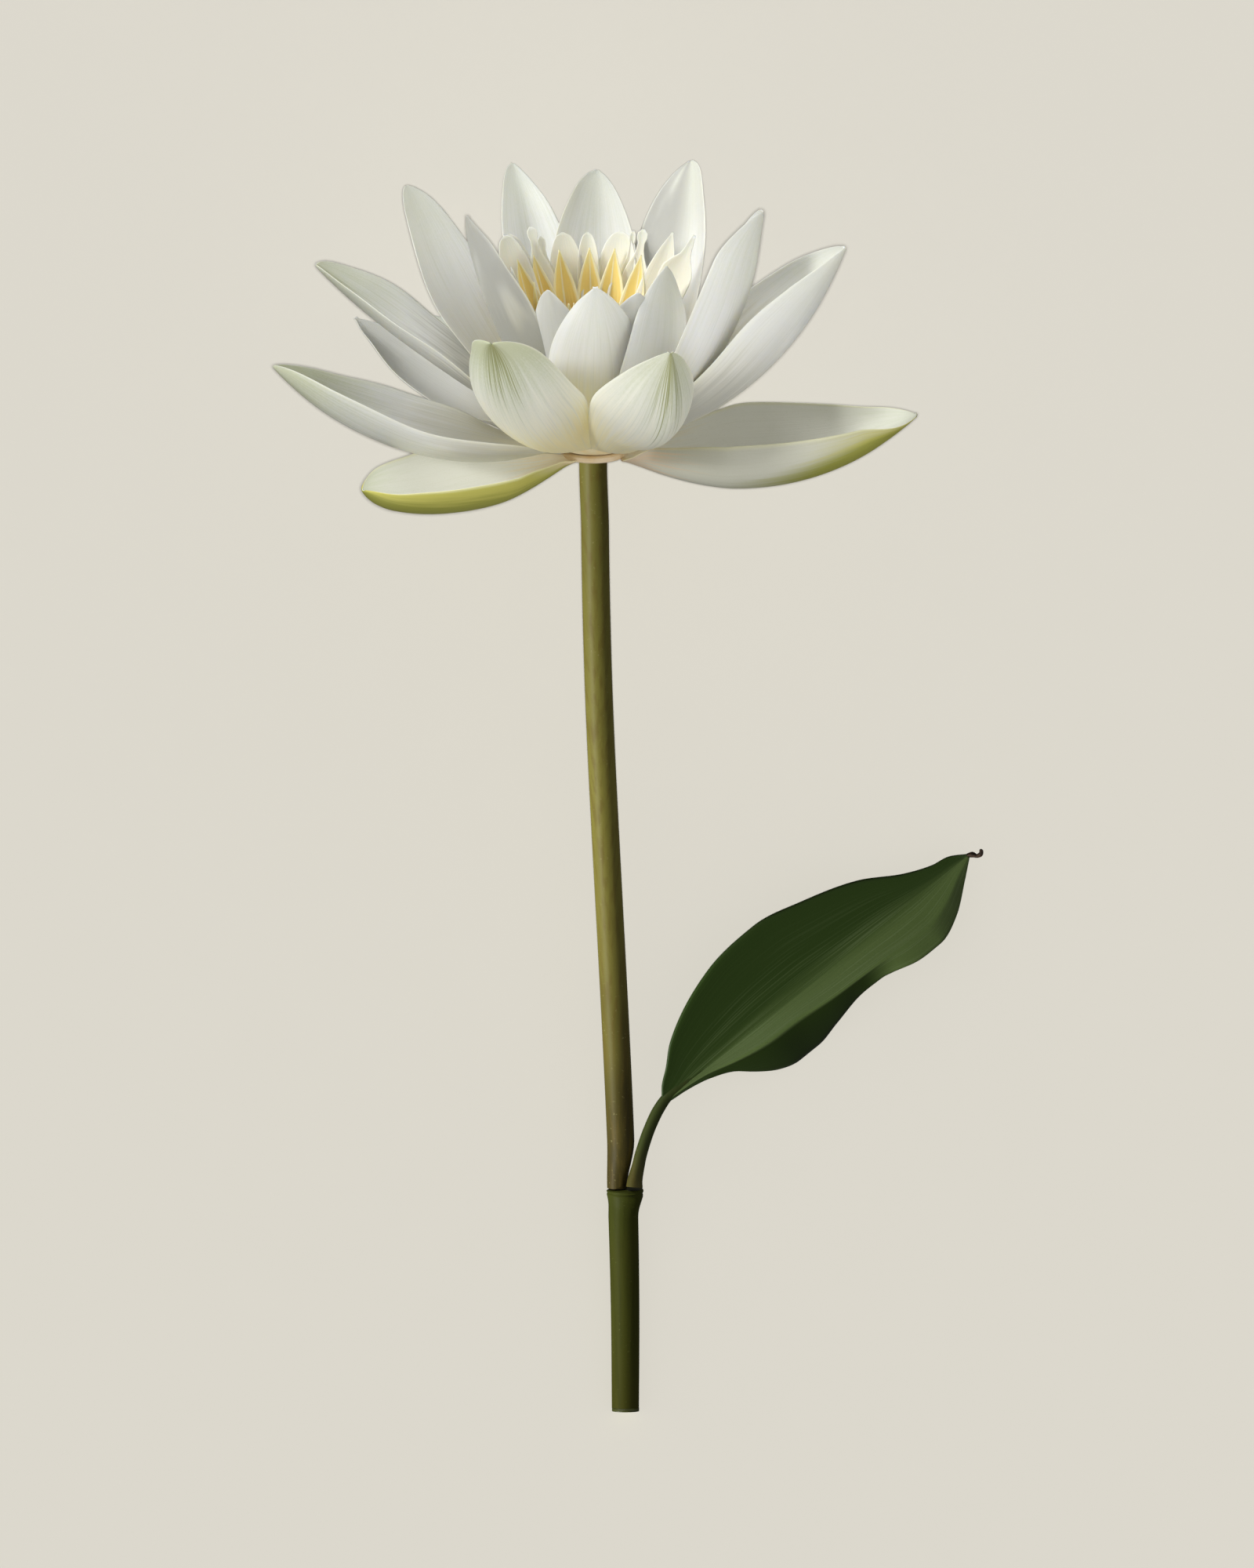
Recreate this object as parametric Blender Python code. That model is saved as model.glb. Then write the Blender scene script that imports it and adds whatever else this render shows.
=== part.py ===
"""A cut water lily laid on a table: open bloom, stalk, lower stem and one leaf.

X runs to the right of the photo, Y along the flower towards its top and Z up
from the table. The bloom has a frame of its own: u to the right, v along its
axis, w up from the table side. Lengths are in millimetres until a mesh is made.
"""
from dataclasses import dataclass, replace

import bmesh
import bpy
import numpy as np

MM = 0.001


@dataclass(frozen=True)
class Blade:
    """One petal, sepal or stamen. Angles in degrees, lengths in millimetres.

    azimuth turns it round the bloom's axis, 90 being up from the table. rise is
    its slope to the bloom's base, arch how much steeper it ends than it starts,
    bend the same sideways, and hook a last bend of the tip. cup curls its sides
    inward from the share curl_from on, tip_curl is how much of that is left at the
    tip, and roll twists it. widest is the share of the length where it is widest,
    tip how blunt it ends and foot the width of its root.
    """

    azimuth: float
    rise: float
    length: float
    width: float
    cup: float
    arch: float
    roll: float = 0.0
    bend: float = 0.0
    widest: float = 0.55
    tip: float = 0.8
    hook: float = 0.0
    foot: float = 0.3
    curl_from: float = 0.3
    tip_curl: float = 0.6


@dataclass(frozen=True)
class Paint:
    """Colour and roughness of a node's material."""

    colour: tuple
    roughness: float


# Where the bloom sits: the middle of its base, and how far its axis leans up off the table.
BASE_X = -8.5
BASE_Y = 75.9
BASE_HEIGHT = 42.0
BLOOM_TILT = 17.0

BLADE_THICKNESS = 0.7
STAMEN_THICKNESS = 0.8
NODE_GAP = 0.3

# How every blade is shaped, by shares of its length.
SWELL_POWER = 1.3
LEAST_WIDTH = 0.08
HOOK_START = 0.8
ROLL_END = 0.35
ROOT_CURL = 0.2
CURL_END = 0.85
LEAST_CURL = 0.001

# Steps of each blade's surface: along it, then across it.
PETAL_STEPS = (10, 6)
BACK_PETAL_STEPS = (8, 4)
PETALOID_STEPS = (5, 2)
STAMEN_STEPS = (4, 2)
COLUMN_SIDES = 14

# Discs stacked on the bloom's axis from the top of the stalk: height, then radius.
SEPAL_DISC = ((0.0, 7.0), (1.0, 8.0), (2.0, 7.4))
PETAL_CORE = ((2.3, 6.4), (3.8, 9.2), (5.8, 10.5), (8.0, 10.2), (10.0, 8.4))
PETALOID_DISC = ((10.3, 8.4), (12.3, 7.8))
STAMEN_DISC = ((12.6, 6.2), (14.6, 5.9))
STIGMA_DISC = ((14.9, 2.4), (16.6, 2.5), (18.0, 3.0), (18.8, 2.7), (18.4, 1.4))

# Where the blades stand: distance from the axis, then height along it.
SEPAL_ROOT = (6.5, 0.9)
OUTER_ROOT = (7.0, 4.5)
INNER_ROOT = (7.6, 7.0)
BACK_ROOT = (7.0, 4.5)
PETALOID_ROOT = (7.2, 11.3)
STAMEN_ROOT = (5.1, 13.6)
INNER_STAMEN_ROOT = (4.0, 13.6)

# The two sepals the photo shows, then the two at the back the bloom lies on.
SEPALS = (
    Blade(140.2, 0.7, 60.1, 33.2, 80.5, 25.5, roll=9.2, bend=-13.1, widest=0.43, tip=0.51, hook=27.3,
          foot=0.16, curl_from=0.06, tip_curl=0.94),
    Blade(10, 10.5, 69.2, 42.7, 105, 36.2, roll=-12.7, bend=13, widest=0.41, tip=0.72, hook=-5,
          curl_from=0.08, tip_curl=0.2),
    Blade(-70, 8, 64, 32, 50, 12),
    Blade(-122, 8, 64, 32, 50, 12),
)

# A blade that comes lower than PRESS_BELOW lands softly on the table and lies flat there.
PRESS_BELOW = 1.0
PRESS_SOFTNESS = 3.0
PRESS_DEPTH = 0.3

# Petals the photo shows, left round the back to the right, then the front ones.
OUTER_PETALS = (
    Blade(166, 17.5, 71.1, 37, 50.7, 24.4, roll=3.6, bend=28.2, widest=0.57, tip=0.6, hook=-3.5, foot=0.28,
          tip_curl=0.94),
    Blade(213, 19, 63, 25, 35, 17, roll=12, bend=-3, widest=0.48, tip=0.9, hook=-5),
    Blade(173.5, 37.1, 70.5, 32.2, 29.8, 2.1, roll=5.8, bend=12.7, widest=0.59, tip=0.52, hook=-1.8,
          foot=0.28, tip_curl=1.0),
    Blade(198, 57, 68, 26, 18, 14, roll=8, bend=11, widest=0.67, tip=0.6, hook=-15),
    Blade(-112, 52, 70, 22, 35, 2, roll=-18, bend=9, widest=0.53, tip=0.65, hook=-10),
    Blade(-89, 55, 66, 23, 45, 4, roll=-12, bend=7, tip=0.65, hook=-15),
    Blade(-62, 57, 69, 28, 30, 18, roll=19, bend=-14, widest=0.51, tip=0.6, hook=-30),
    Blade(34, 57, 71, 30, 70, 30, roll=-20, bend=-7, widest=0.66, tip=0.5, hook=-15),
    Blade(20, 43, 73, 37, 85, 24, roll=-18, bend=-8, widest=0.6, tip=0.65, hook=-5),
    Blade(114, 38, 58, 32, 65, 36, roll=-4, bend=-3, widest=0.54, tip=0.5, hook=-30),
    Blade(70, 37, 54, 29, 65, 35, widest=0.58, tip=0.8, hook=-15),
    Blade(90, 56, 53, 27, 56, 4, roll=-3, bend=5, widest=0.46, tip=0.85),
)
INNER_PETALS = (
    Blade(158, 66, 57, 23, 40, 8, roll=-11, widest=0.45, hook=5),
    Blade(56, 65, 48, 19.5, 30, 36, roll=-14, bend=10, widest=0.6, tip=0.75, hook=-15),
    Blade(116, 68, 40, 15, 22, 4, roll=8, bend=-4, tip=0.65),
    Blade(70, 60, 44, 16, 40, 8, tip=0.65),
)
# Petals guessed for the back, hidden in the photo by those in front of them.
BACK_PETALS = (
    Blade(-25, 34, 54, 26, 45, 12),
    Blade(-42, 24, 56, 26, 45, 12),
    Blade(-96, 38, 54, 26, 45, 12),
    Blade(-140, 28, 56, 26, 45, 12),
)

# Petal-like outer stamens and the golden inner ones. Each ring turns its one blade by
# equal steps from the given azimuth. Those towards the front are shorter by up to the
# front cut, because the photo shows none above the front petals.
PETALOID = Blade(0, 71, 41, 6.6, 35, 6, widest=0.72, tip=0.4, foot=0.35)
PETALOID_COUNT = 14
PETALOID_TURN = 4.0
PETALOID_FRONT_CUT = 0.3
STAMEN = Blade(0, 73, 33, 4.7, 40, -4, widest=0.7, tip=0.95, foot=0.35)
STAMEN_COUNT = 14
STAMEN_TURN = 12.0
STAMEN_FRONT_CUT = 0.2
INNER_STAMEN = Blade(0, 82, 22, 4.0, 40, -6, widest=0.7, tip=0.95, foot=0.35)
INNER_STAMEN_COUNT = 7
INNER_STAMEN_TURN = 24.9

# The stem's line: from the bloom down to its cut end on the table. The node, where the
# leaf grows, lies at NODE_SHARE of the way.
STEM_LENGTH = 222.4
STEM_DRIFT = 7.4
STEM_DRIFT_END = 0.94
STEM_FALL_POWER = 1.78
NODE_SHARE = 0.7626

# Flower stalk: its neck runs straight out of the bloom, its foot is narrower and set
# aside to leave room for the leaf's own stalk.
STALK_STATIONS = 14
STALK_RADIUS = 3.2
STALK_NECK_LENGTH = 6.0
STALK_FOOT_START = 0.71
STALK_FOOT_RADIUS = 2.35
STALK_FOOT_SHIFT = 1.25

# Lower stem: a collar at the node, as distance below its top and radius, then a stout
# piece that narrows a little to the cut end. The collar stands a little to the right,
# under the leaf's stalk.
COLLAR = ((0.0, 4.1), (0.4, 4.34), (1.5, 4.25), (3.0, 3.9), (5.3, 3.56))
COLLAR_SHIFT = 0.6
COLLAR_SHIFT_LENGTH = 7.0
LOWER_STATIONS = (0.83, 0.88, 0.93, 0.97, 1.0)
LOWER_TAPER_START = 0.80
LOWER_RADIUS = 3.5
CUT_END_RADIUS = 3.2

# Leaf: its stalk's line and its midrib, from the bloom's base but with height above the table.
LEAF_STALK = ((9.35, -169.3, 8.9), (9.55, -167.4, 8.85), (10.3, -164.3, 8.75), (11.1, -161.0, 8.6),
              (12.9, -155.7, 8.5), (15.3, -150.7, 8.4), (18.4, -147.0, 8.2), (26.0, -141.4, 8.0))
LEAF_STALK_RADII = (1.95, 1.75, 1.5, 1.42, 1.36, 1.33, 1.1, 0.8)
LEAF_STALK_SIDES = 10
LEAF_START = (16.3, -149.4, 8.3)
LEAF_END = (87.9, -91.4, 6.5)
LEAF_LIFT = 1.0
# Reach of the leaf's blade either side of its midrib, as share along it and distance. The
# right side climbs to a ridge, then folds down to its rim.
LEAF_LEFT = ((0.0, 0.6), (0.012, 2.0), (0.023, 3.3), (0.058, 5.9), (0.11, 10.2), (0.3, 17.8), (0.46, 19.1),
             (0.59, 16.5), (0.74, 11.8), (0.84, 6.3), (0.91, 3.6), (0.96, 2.6), (1.0, 0.7))
LEAF_RIDGE = ((0.0, 0.4), (0.05, 0.5), (0.13, 1.3), (0.21, 3.0), (0.3, 4.3), (0.4, 4.7), (0.51, 5.8),
              (0.59, 6.2), (0.66, 6.6), (0.73, 7.3), (0.8, 7.4), (0.88, 5.4), (0.95, 2.2), (1.0, 0.4))
LEAF_RIM = ((0.0, 0.8), (0.03, 0.9), (0.055, 1.1), (0.09, 1.6), (0.13, 2.5), (0.19, 4.8), (0.23, 8.1),
            (0.28, 11.3), (0.34, 12.9), (0.4, 12.9), (0.47, 11.5), (0.56, 9.7), (0.63, 9.6), (0.66, 10.1),
            (0.73, 11.8), (0.8, 12.0), (0.88, 9.3), (0.95, 4.4), (1.0, 0.8))
LEAF_STATIONS = (0.0, 0.04, 0.11, 0.19, 0.27, 0.36, 0.46, 0.56, 0.66, 0.75, 0.84, 0.92, 1.0)
LEAF_LEFT_STEPS = 4
LEAF_FLANK_STEPS = 2
LEAF_FOLD_STEPS = 3
# Slopes across the blade in degrees, the share each keeps at the tip, and how hollow each is.
LEAF_LEFT_SLOPE = 26.0
LEAF_LEFT_KEPT = 0.5
LEAF_RIDGE_SLOPE = 34.0
LEAF_RIDGE_KEPT = 0.4
LEAF_FOLD_SLOPE = 50.0
LEAF_OPEN_SLOPE = 11.3
LEAF_HOLLOW = 1.2
LEAF_FOLD_HOLLOW = 1.3
LEAF_FOLD_START = 0.12
LEAF_FOLD_END = 0.62
LEAF_FOLD_BLEND = 0.08

PAINTS = {
    "lower_stem": Paint((0.05, 0.07, 0.02), 0.5),
    "flower_stalk": Paint((0.13, 0.12, 0.04), 0.45),
    "leaf": Paint((0.04, 0.08, 0.02), 0.45),
    "sepals": Paint((0.45, 0.5, 0.2), 0.5),
    "petals": Paint((0.85, 0.86, 0.8), 0.5),
    "petaloid_stamens": Paint((0.85, 0.82, 0.62), 0.5),
    "stamens": Paint((0.85, 0.6, 0.15), 0.5),
    "stigma_disc": Paint((0.85, 0.7, 0.25), 0.5),
}
SMOOTH_ANGLE = 40.0


def ease(share):
    """Smooth step from 0 to 1."""
    x = np.clip(share, 0.0, 1.0)
    return x * x * (3.0 - 2.0 * x)


def unit(vectors):
    """Vectors brought to length one."""
    return vectors / np.linalg.norm(vectors, axis=-1)[..., None]


def bloom_to_part(points):
    """Bloom frame (u, v, w) to the part's frame."""
    tilt = np.radians(BLOOM_TILT)
    u, v, w = points[..., 0], points[..., 1], points[..., 2]
    y = v * np.cos(tilt) - w * np.sin(tilt)
    z = v * np.sin(tilt) + w * np.cos(tilt)
    return np.stack([u + BASE_X, y + BASE_Y, z + BASE_HEIGHT], -1)


def width_share(s, blade):
    """Share of the full width at each station from the root to the tip."""
    swell = np.sin(0.5 * np.pi * np.clip(s / blade.widest, 0.0, 1.0)) ** SWELL_POWER
    taper = np.clip((s - blade.widest) / (1.0 - blade.widest), 0.0, 1.0)
    share = np.where(s < blade.widest, blade.foot + (1.0 - blade.foot) * swell,
                     np.cos(0.5 * np.pi * taper) ** blade.tip)
    return np.maximum(share, LEAST_WIDTH)


def blade_midline(blade, s):
    """Points along a blade's middle, and its direction at each of them."""
    turn = 2.0 * s - 1.0
    hook = np.clip((s - HOOK_START) / (1.0 - HOOK_START), 0.0, 1.0) ** 2
    climb = np.radians(blade.rise + blade.arch * turn + blade.hook * hook)
    swing = np.radians(blade.bend * turn)
    along = np.stack([np.cos(climb) * np.cos(swing), np.sin(climb), np.cos(climb) * np.sin(swing)], 1)
    steps = 0.5 * (along[1:] + along[:-1]) * np.diff(s)[:, None]
    middle = np.concatenate([np.zeros((1, 3)), np.cumsum(steps, 0)])
    return middle * blade.length / np.linalg.norm(middle[-1]), along, climb


def blade_surface(blade, root, rows, columns):
    """Middle surface of a blade in the bloom's frame, as a grid of points."""
    even = np.linspace(0.0, 1.0, rows + 1)
    s = 0.5 * even + 0.5 * np.sin(0.5 * np.pi * even)
    middle, along, climb = blade_midline(blade, s)
    inward = np.stack([-np.sin(climb), np.cos(climb), np.zeros_like(climb)], 1)
    side = unit(np.cross(along, inward))
    inward = np.cross(side, along)
    roll = np.radians(blade.roll) * np.clip(s / ROLL_END, 0.0, 1.0)[:, None]
    side, inward = (side * np.cos(roll) + inward * np.sin(roll),
                    inward * np.cos(roll) - side * np.sin(roll))

    q = np.linspace(-1.0, 1.0, columns + 1)
    curled = np.interp(s, [0.0, blade.curl_from, CURL_END, 1.0], [ROOT_CURL, 1.0, 1.0, blade.tip_curl])
    curl = np.radians(blade.cup) * curled
    curl = np.maximum(curl, LEAST_CURL)[:, None]
    half = (0.5 * blade.width * width_share(s, blade))[:, None]
    across = half * np.sin(curl * q) / curl
    depth = half * (1.0 - np.cos(curl * q)) / curl

    grid = middle[:, None] + side[:, None] * across[..., None] + inward[:, None] * depth[..., None]
    grid = grid + np.array([root[0], root[1], 0.0])
    spin = np.radians(blade.azimuth)
    u = grid[..., 0] * np.cos(spin) - grid[..., 2] * np.sin(spin)
    w = grid[..., 0] * np.sin(spin) + grid[..., 2] * np.cos(spin)
    return np.stack([u, grid[..., 1], w], -1)


def press_on_table(grid, thickness):
    """Lets a blade that would sink into the table lie down on it instead."""
    floor = 0.5 * thickness - PRESS_DEPTH
    pressed = grid.copy()
    lift = np.logaddexp(0.0, (grid[..., 2] - floor) / PRESS_SOFTNESS)
    pressed[..., 2] = floor + PRESS_SOFTNESS * lift
    return pressed


def object_from(name, points, faces):
    """Makes an object from millimetre points, with its normals outward."""
    mesh = bpy.data.meshes.new(name)
    mesh.from_pydata([tuple(p) for p in np.asarray(points) * MM], [], faces)
    work = bmesh.new()
    work.from_mesh(mesh)
    bmesh.ops.recalc_face_normals(work, faces=work.faces)
    work.to_mesh(mesh)
    work.free()
    return bpy.data.objects.new(name, mesh)


def thick_blade(name, grid, thickness, on_table=False):
    """Closes a grid surface into a blade of even thickness, split alike on both faces."""
    rows, columns = grid.shape[0], grid.shape[1]
    normals = unit(np.cross(np.gradient(grid, axis=1), np.gradient(grid, axis=0)))
    inner, outer = grid + 0.5 * thickness * normals, grid - 0.5 * thickness * normals
    if on_table:
        if inner[..., 2].mean() < outer[..., 2].mean():
            inner, outer = outer, inner
        outer[..., 2] = np.maximum(outer[..., 2], 0.0)
        inner[..., 2] = np.maximum(inner[..., 2], thickness)
    points = np.concatenate([inner.reshape(-1, 3), outer.reshape(-1, 3)])
    below = rows * columns
    faces = []
    for i in range(rows - 1):
        for j in range(columns - 1):
            a = i * columns + j
            b = a + columns
            faces.append((a, b, b + 1))
            faces.append((a, b + 1, a + 1))
            faces.append((below + a, below + b + 1, below + b))
            faces.append((below + a, below + a + 1, below + b + 1))
    border = list(range(columns))
    border += [i * columns + columns - 1 for i in range(1, rows)]
    border += [(rows - 1) * columns + j for j in range(columns - 2, -1, -1)]
    border += [i * columns for i in range(rows - 2, 0, -1)]
    for here, there in zip(border, border[1:] + border[:1]):
        faces.append((here, there, below + there))
        faces.append((here, below + there, below + here))
    return object_from(name, points, faces)


def skin_rings(name, rings):
    """Solid through a row of point rings, closed flat at its first and last ring."""
    count, sides = len(rings), len(rings[0])
    faces = [tuple(range(sides)), tuple(range((count - 1) * sides, count * sides))]
    for i in range(count - 1):
        for j in range(sides):
            here, there = i * sides + j, i * sides + (j + 1) % sides
            faces.append((here, there, there + sides, here + sides))
    return object_from(name, np.concatenate(rings), faces)


def axis_disc(name, stations):
    """Solid of revolution about the bloom's axis."""
    angles = np.linspace(0.0, 2.0 * np.pi, COLUMN_SIDES, endpoint=False)
    rings = []
    for height, radius in stations:
        ring = [(radius * np.cos(angle), height, radius * np.sin(angle)) for angle in angles]
        rings.append(bloom_to_part(np.array(ring)))
    return skin_rings(name, rings)


def tube(name, centres, radii, sides=COLUMN_SIDES):
    """Round bar along a line of centres, flat at both ends, with a corner at its lowest line."""
    centres = np.asarray(centres, dtype=float)
    along = unit(np.gradient(centres, axis=0))
    across = unit(np.cross(along, np.array([0.0, 0.0, 1.0])))
    up = np.cross(across, along)
    angles = np.linspace(0.0, 2.0 * np.pi, sides, endpoint=False)[:, None] - 0.5 * np.pi
    rings = []
    for centre, side, rise, radius in zip(centres, across, up, radii):
        rings.append(centre + radius * (np.cos(angles) * side + np.sin(angles) * rise))
    return skin_rings(name, rings)


def fuse(body, additions):
    """Joins the additions to the body in one Boolean union."""
    scene = bpy.context.scene
    scene.collection.objects.link(body)
    group = bpy.data.collections.new(body.name + "_additions")
    scene.collection.children.link(group)
    for extra in additions:
        group.objects.link(extra)
    union = body.modifiers.new("union", "BOOLEAN")
    union.operation = "UNION"
    union.operand_type = "COLLECTION"
    union.collection = group
    union.solver = "EXACT"
    depsgraph = bpy.context.evaluated_depsgraph_get()
    fused = bpy.data.meshes.new_from_object(body.evaluated_get(depsgraph))
    body.modifiers.remove(union)
    body.data = fused
    for extra in additions:
        bpy.data.objects.remove(extra, do_unlink=True)
    bpy.data.collections.remove(group)
    return body


def finish(node):
    """Links a node, shades it smooth and gives it a material of its own."""
    if node.name not in bpy.context.scene.collection.objects:
        bpy.context.scene.collection.objects.link(node)
    node.data.shade_smooth()
    node.data.set_sharp_from_angle(angle=np.radians(SMOOTH_ANGLE))
    paint = PAINTS[node.name]
    material = bpy.data.materials.new(node.name + "_surface")
    material.use_nodes = True
    shader = material.node_tree.nodes["Principled BSDF"]
    shader.inputs["Base Color"].default_value = (*paint.colour, 1.0)
    shader.inputs["Roughness"].default_value = paint.roughness
    shader.inputs["Metallic"].default_value = 0.0
    node.data.materials.clear()
    node.data.materials.append(material)


def ring_of(blade, count, turn, front_cut=0.0):
    """Copies of a blade spread round the axis, shorter towards the front."""
    ring = []
    for number in range(count):
        azimuth = turn + 360.0 * number / count
        cut = front_cut * np.sqrt(max(0.0, np.sin(np.radians(azimuth))))
        ring.append(replace(blade, azimuth=azimuth, length=blade.length * (1.0 - cut)))
    return ring


def blades_from(name, blades, root, steps, thickness=BLADE_THICKNESS, on_table=False):
    """Thick blades standing on one root ring."""
    made = []
    for number, blade in enumerate(blades):
        grid = bloom_to_part(blade_surface(blade, root, *steps))
        pressed = on_table and grid[..., 2].min() < PRESS_BELOW
        if pressed:
            grid = press_on_table(grid, thickness)
        made.append(thick_blade(f"{name}_{number}", grid, thickness, pressed))
    return made


def sepals():
    """Four sepals on the lowest disc of the bloom."""
    blades = blades_from("sepal", SEPALS, SEPAL_ROOT, PETAL_STEPS, on_table=True)
    return fuse(axis_disc("sepals", SEPAL_DISC), blades)


def petals():
    """All white petals on the bloom's core."""
    blades = blades_from("outer", OUTER_PETALS, OUTER_ROOT, PETAL_STEPS)
    blades += blades_from("inner", INNER_PETALS, INNER_ROOT, PETAL_STEPS)
    blades += blades_from("back", BACK_PETALS, BACK_ROOT, BACK_PETAL_STEPS)
    return fuse(axis_disc("petals", PETAL_CORE), blades)


def petaloid_stamens():
    """The ring of cream, petal-like stamens."""
    ring = ring_of(PETALOID, PETALOID_COUNT, PETALOID_TURN, PETALOID_FRONT_CUT)
    blades = blades_from("petaloid", ring, PETALOID_ROOT, PETALOID_STEPS, STAMEN_THICKNESS)
    return fuse(axis_disc("petaloid_stamens", PETALOID_DISC), blades)


def stamens():
    """The golden stamens in two rings."""
    outer = ring_of(STAMEN, STAMEN_COUNT, STAMEN_TURN, STAMEN_FRONT_CUT)
    inner = ring_of(INNER_STAMEN, INNER_STAMEN_COUNT, INNER_STAMEN_TURN)
    blades = blades_from("stamen", outer, STAMEN_ROOT, STAMEN_STEPS, STAMEN_THICKNESS)
    blades += blades_from("inner_stamen", inner, INNER_STAMEN_ROOT, STAMEN_STEPS, STAMEN_THICKNESS)
    return fuse(axis_disc("stamens", STAMEN_DISC), blades)


def stem_centre(share):
    """Points on the stem's line at shares of its length below the bloom."""
    share = np.asarray(share, dtype=float)
    x = STEM_DRIFT * ease(share / STEM_DRIFT_END)
    y = -STEM_LENGTH * share
    fall = (1.0 - np.clip(share, 0.0, 1.0)) ** STEM_FALL_POWER
    z = CUT_END_RADIUS + (BASE_HEIGHT - CUT_END_RADIUS) * fall
    return np.stack([x + BASE_X, y + BASE_Y, z], -1)


def flower_stalk():
    """The olive stalk from the bloom to the node."""
    share = np.linspace(0.0, NODE_SHARE, STALK_STATIONS)
    centres = stem_centre(share)
    foot = ease((share - STALK_FOOT_START) / (NODE_SHARE - STALK_FOOT_START))
    centres[:, 0] -= STALK_FOOT_SHIFT * foot
    tilt = np.radians(BLOOM_TILT)
    bloom_axis = np.array([0.0, np.cos(tilt), np.sin(tilt)])
    centres[0] = np.array([BASE_X, BASE_Y, BASE_HEIGHT]) - NODE_GAP * bloom_axis
    centres[1] = centres[0] - STALK_NECK_LENGTH * bloom_axis
    radii = STALK_RADIUS + (STALK_FOOT_RADIUS - STALK_RADIUS) * foot
    return tube("flower_stalk", centres, radii)


def lower_stem():
    """The dark lower stem with the collar the stalks stand on."""
    top = NODE_SHARE + NODE_GAP / STEM_LENGTH
    share = [top + distance / STEM_LENGTH for distance, radius in COLLAR]
    radii = [radius for distance, radius in COLLAR]
    for station in LOWER_STATIONS:
        share.append(station)
        radii.append(np.interp(station, [LOWER_TAPER_START, 1.0], [LOWER_RADIUS, CUT_END_RADIUS]))
    centres = stem_centre(share)
    below = (np.array(share) - top) * STEM_LENGTH
    centres[:, 0] += COLLAR_SHIFT * (1.0 - ease(below / COLLAR_SHIFT_LENGTH))
    return tube("lower_stem", centres, radii)


def leaf_reach(stations, s):
    """Reach of one line of the leaf at shares along the midrib."""
    places, reaches = zip(*stations)
    return np.interp(s, places, reaches)


def leaf_slope(degrees, kept, s):
    """Slope across the leaf, which eases towards its tip."""
    return np.tan(np.radians(degrees)) * (1.0 - (1.0 - kept) * s)


def leaf_grid():
    """Middle surface of the leaf's blade, from its left rim over the midrib to its right rim."""
    s = np.array(LEAF_STATIONS)
    start, end = np.array(LEAF_START), np.array(LEAF_END)
    along = unit(end - start)
    side = unit(np.cross(along, np.array([0.0, 0.0, 1.0])))
    up = np.cross(side, along)
    middle = start + (end - start) * s[:, None] + up * (LEAF_LIFT * np.sin(np.pi * s))[:, None]

    reach_left = leaf_reach(LEAF_LEFT, s)
    ridge = leaf_reach(LEAF_RIDGE, s)
    beyond = leaf_reach(LEAF_RIM, s) - ridge
    folded = ease((s - LEAF_FOLD_START) / LEAF_FOLD_BLEND)
    folded = folded * (1.0 - ease((s - LEAF_FOLD_END + LEAF_FOLD_BLEND) / (2.0 * LEAF_FOLD_BLEND)))
    fold_slope = (np.tan(np.radians(LEAF_FOLD_SLOPE)) * folded
                  + np.tan(np.radians(LEAF_OPEN_SLOPE)) * (1.0 - folded))
    rise = leaf_slope(LEAF_LEFT_SLOPE, LEAF_LEFT_KEPT, s)
    climb = leaf_slope(LEAF_RIDGE_SLOPE, LEAF_RIDGE_KEPT, s)

    columns = []
    for share in np.linspace(1.0, 0.0, LEAF_LEFT_STEPS, endpoint=False):
        columns.append((-reach_left * share, reach_left * rise * share ** LEAF_HOLLOW))
    for share in np.linspace(0.0, 1.0, LEAF_FLANK_STEPS, endpoint=False):
        columns.append((ridge * share, ridge * climb * share ** LEAF_HOLLOW))
    for share in np.linspace(0.0, 1.0, LEAF_FOLD_STEPS + 1):
        columns.append((ridge + beyond * share,
                        ridge * climb - beyond * fold_slope * share ** LEAF_FOLD_HOLLOW))
    grid = [middle + side * across[:, None] + up * height[:, None] for across, height in columns]
    return np.stack(grid, 1) + np.array([BASE_X, BASE_Y, 0.0])


def leaf():
    """The leaf with its stalk, as one body."""
    centres = np.array(LEAF_STALK) + np.array([BASE_X, BASE_Y, 0.0])
    body = tube("leaf", centres, LEAF_STALK_RADII, LEAF_STALK_SIDES)
    return fuse(body, [thick_blade("leaf_blade", leaf_grid(), BLADE_THICKNESS)])


def build():
    """Builds the flower, node by node from the cut end to the middle of the bloom."""
    for old in list(bpy.data.objects):
        bpy.data.objects.remove(old, do_unlink=True)
    finish(lower_stem())
    finish(flower_stalk())
    finish(leaf())
    finish(sepals())
    finish(petals())
    finish(petaloid_stamens())
    finish(stamens())
    finish(axis_disc("stigma_disc", STIGMA_DISC))


if __name__ == "__main__":
    build()
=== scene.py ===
"""Looks of the cut water lily: petals, sepals, stamens, stalk, stem, leaf and studio.

Lengths are in millimetres in the part's frame until a mesh is made: X to the photo's
right, Y along the flower, Z up from the table. The bloom has a frame of its own: u to
the right, v along its axis, w up from the table side. Every blade carries the marks
along, across, inside and flow, and those that say how its own colours and its painted
shade are spread, which its finish reads.
"""
import logging
from dataclasses import dataclass
from enum import Enum
from typing import Any, Optional, Union

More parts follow.
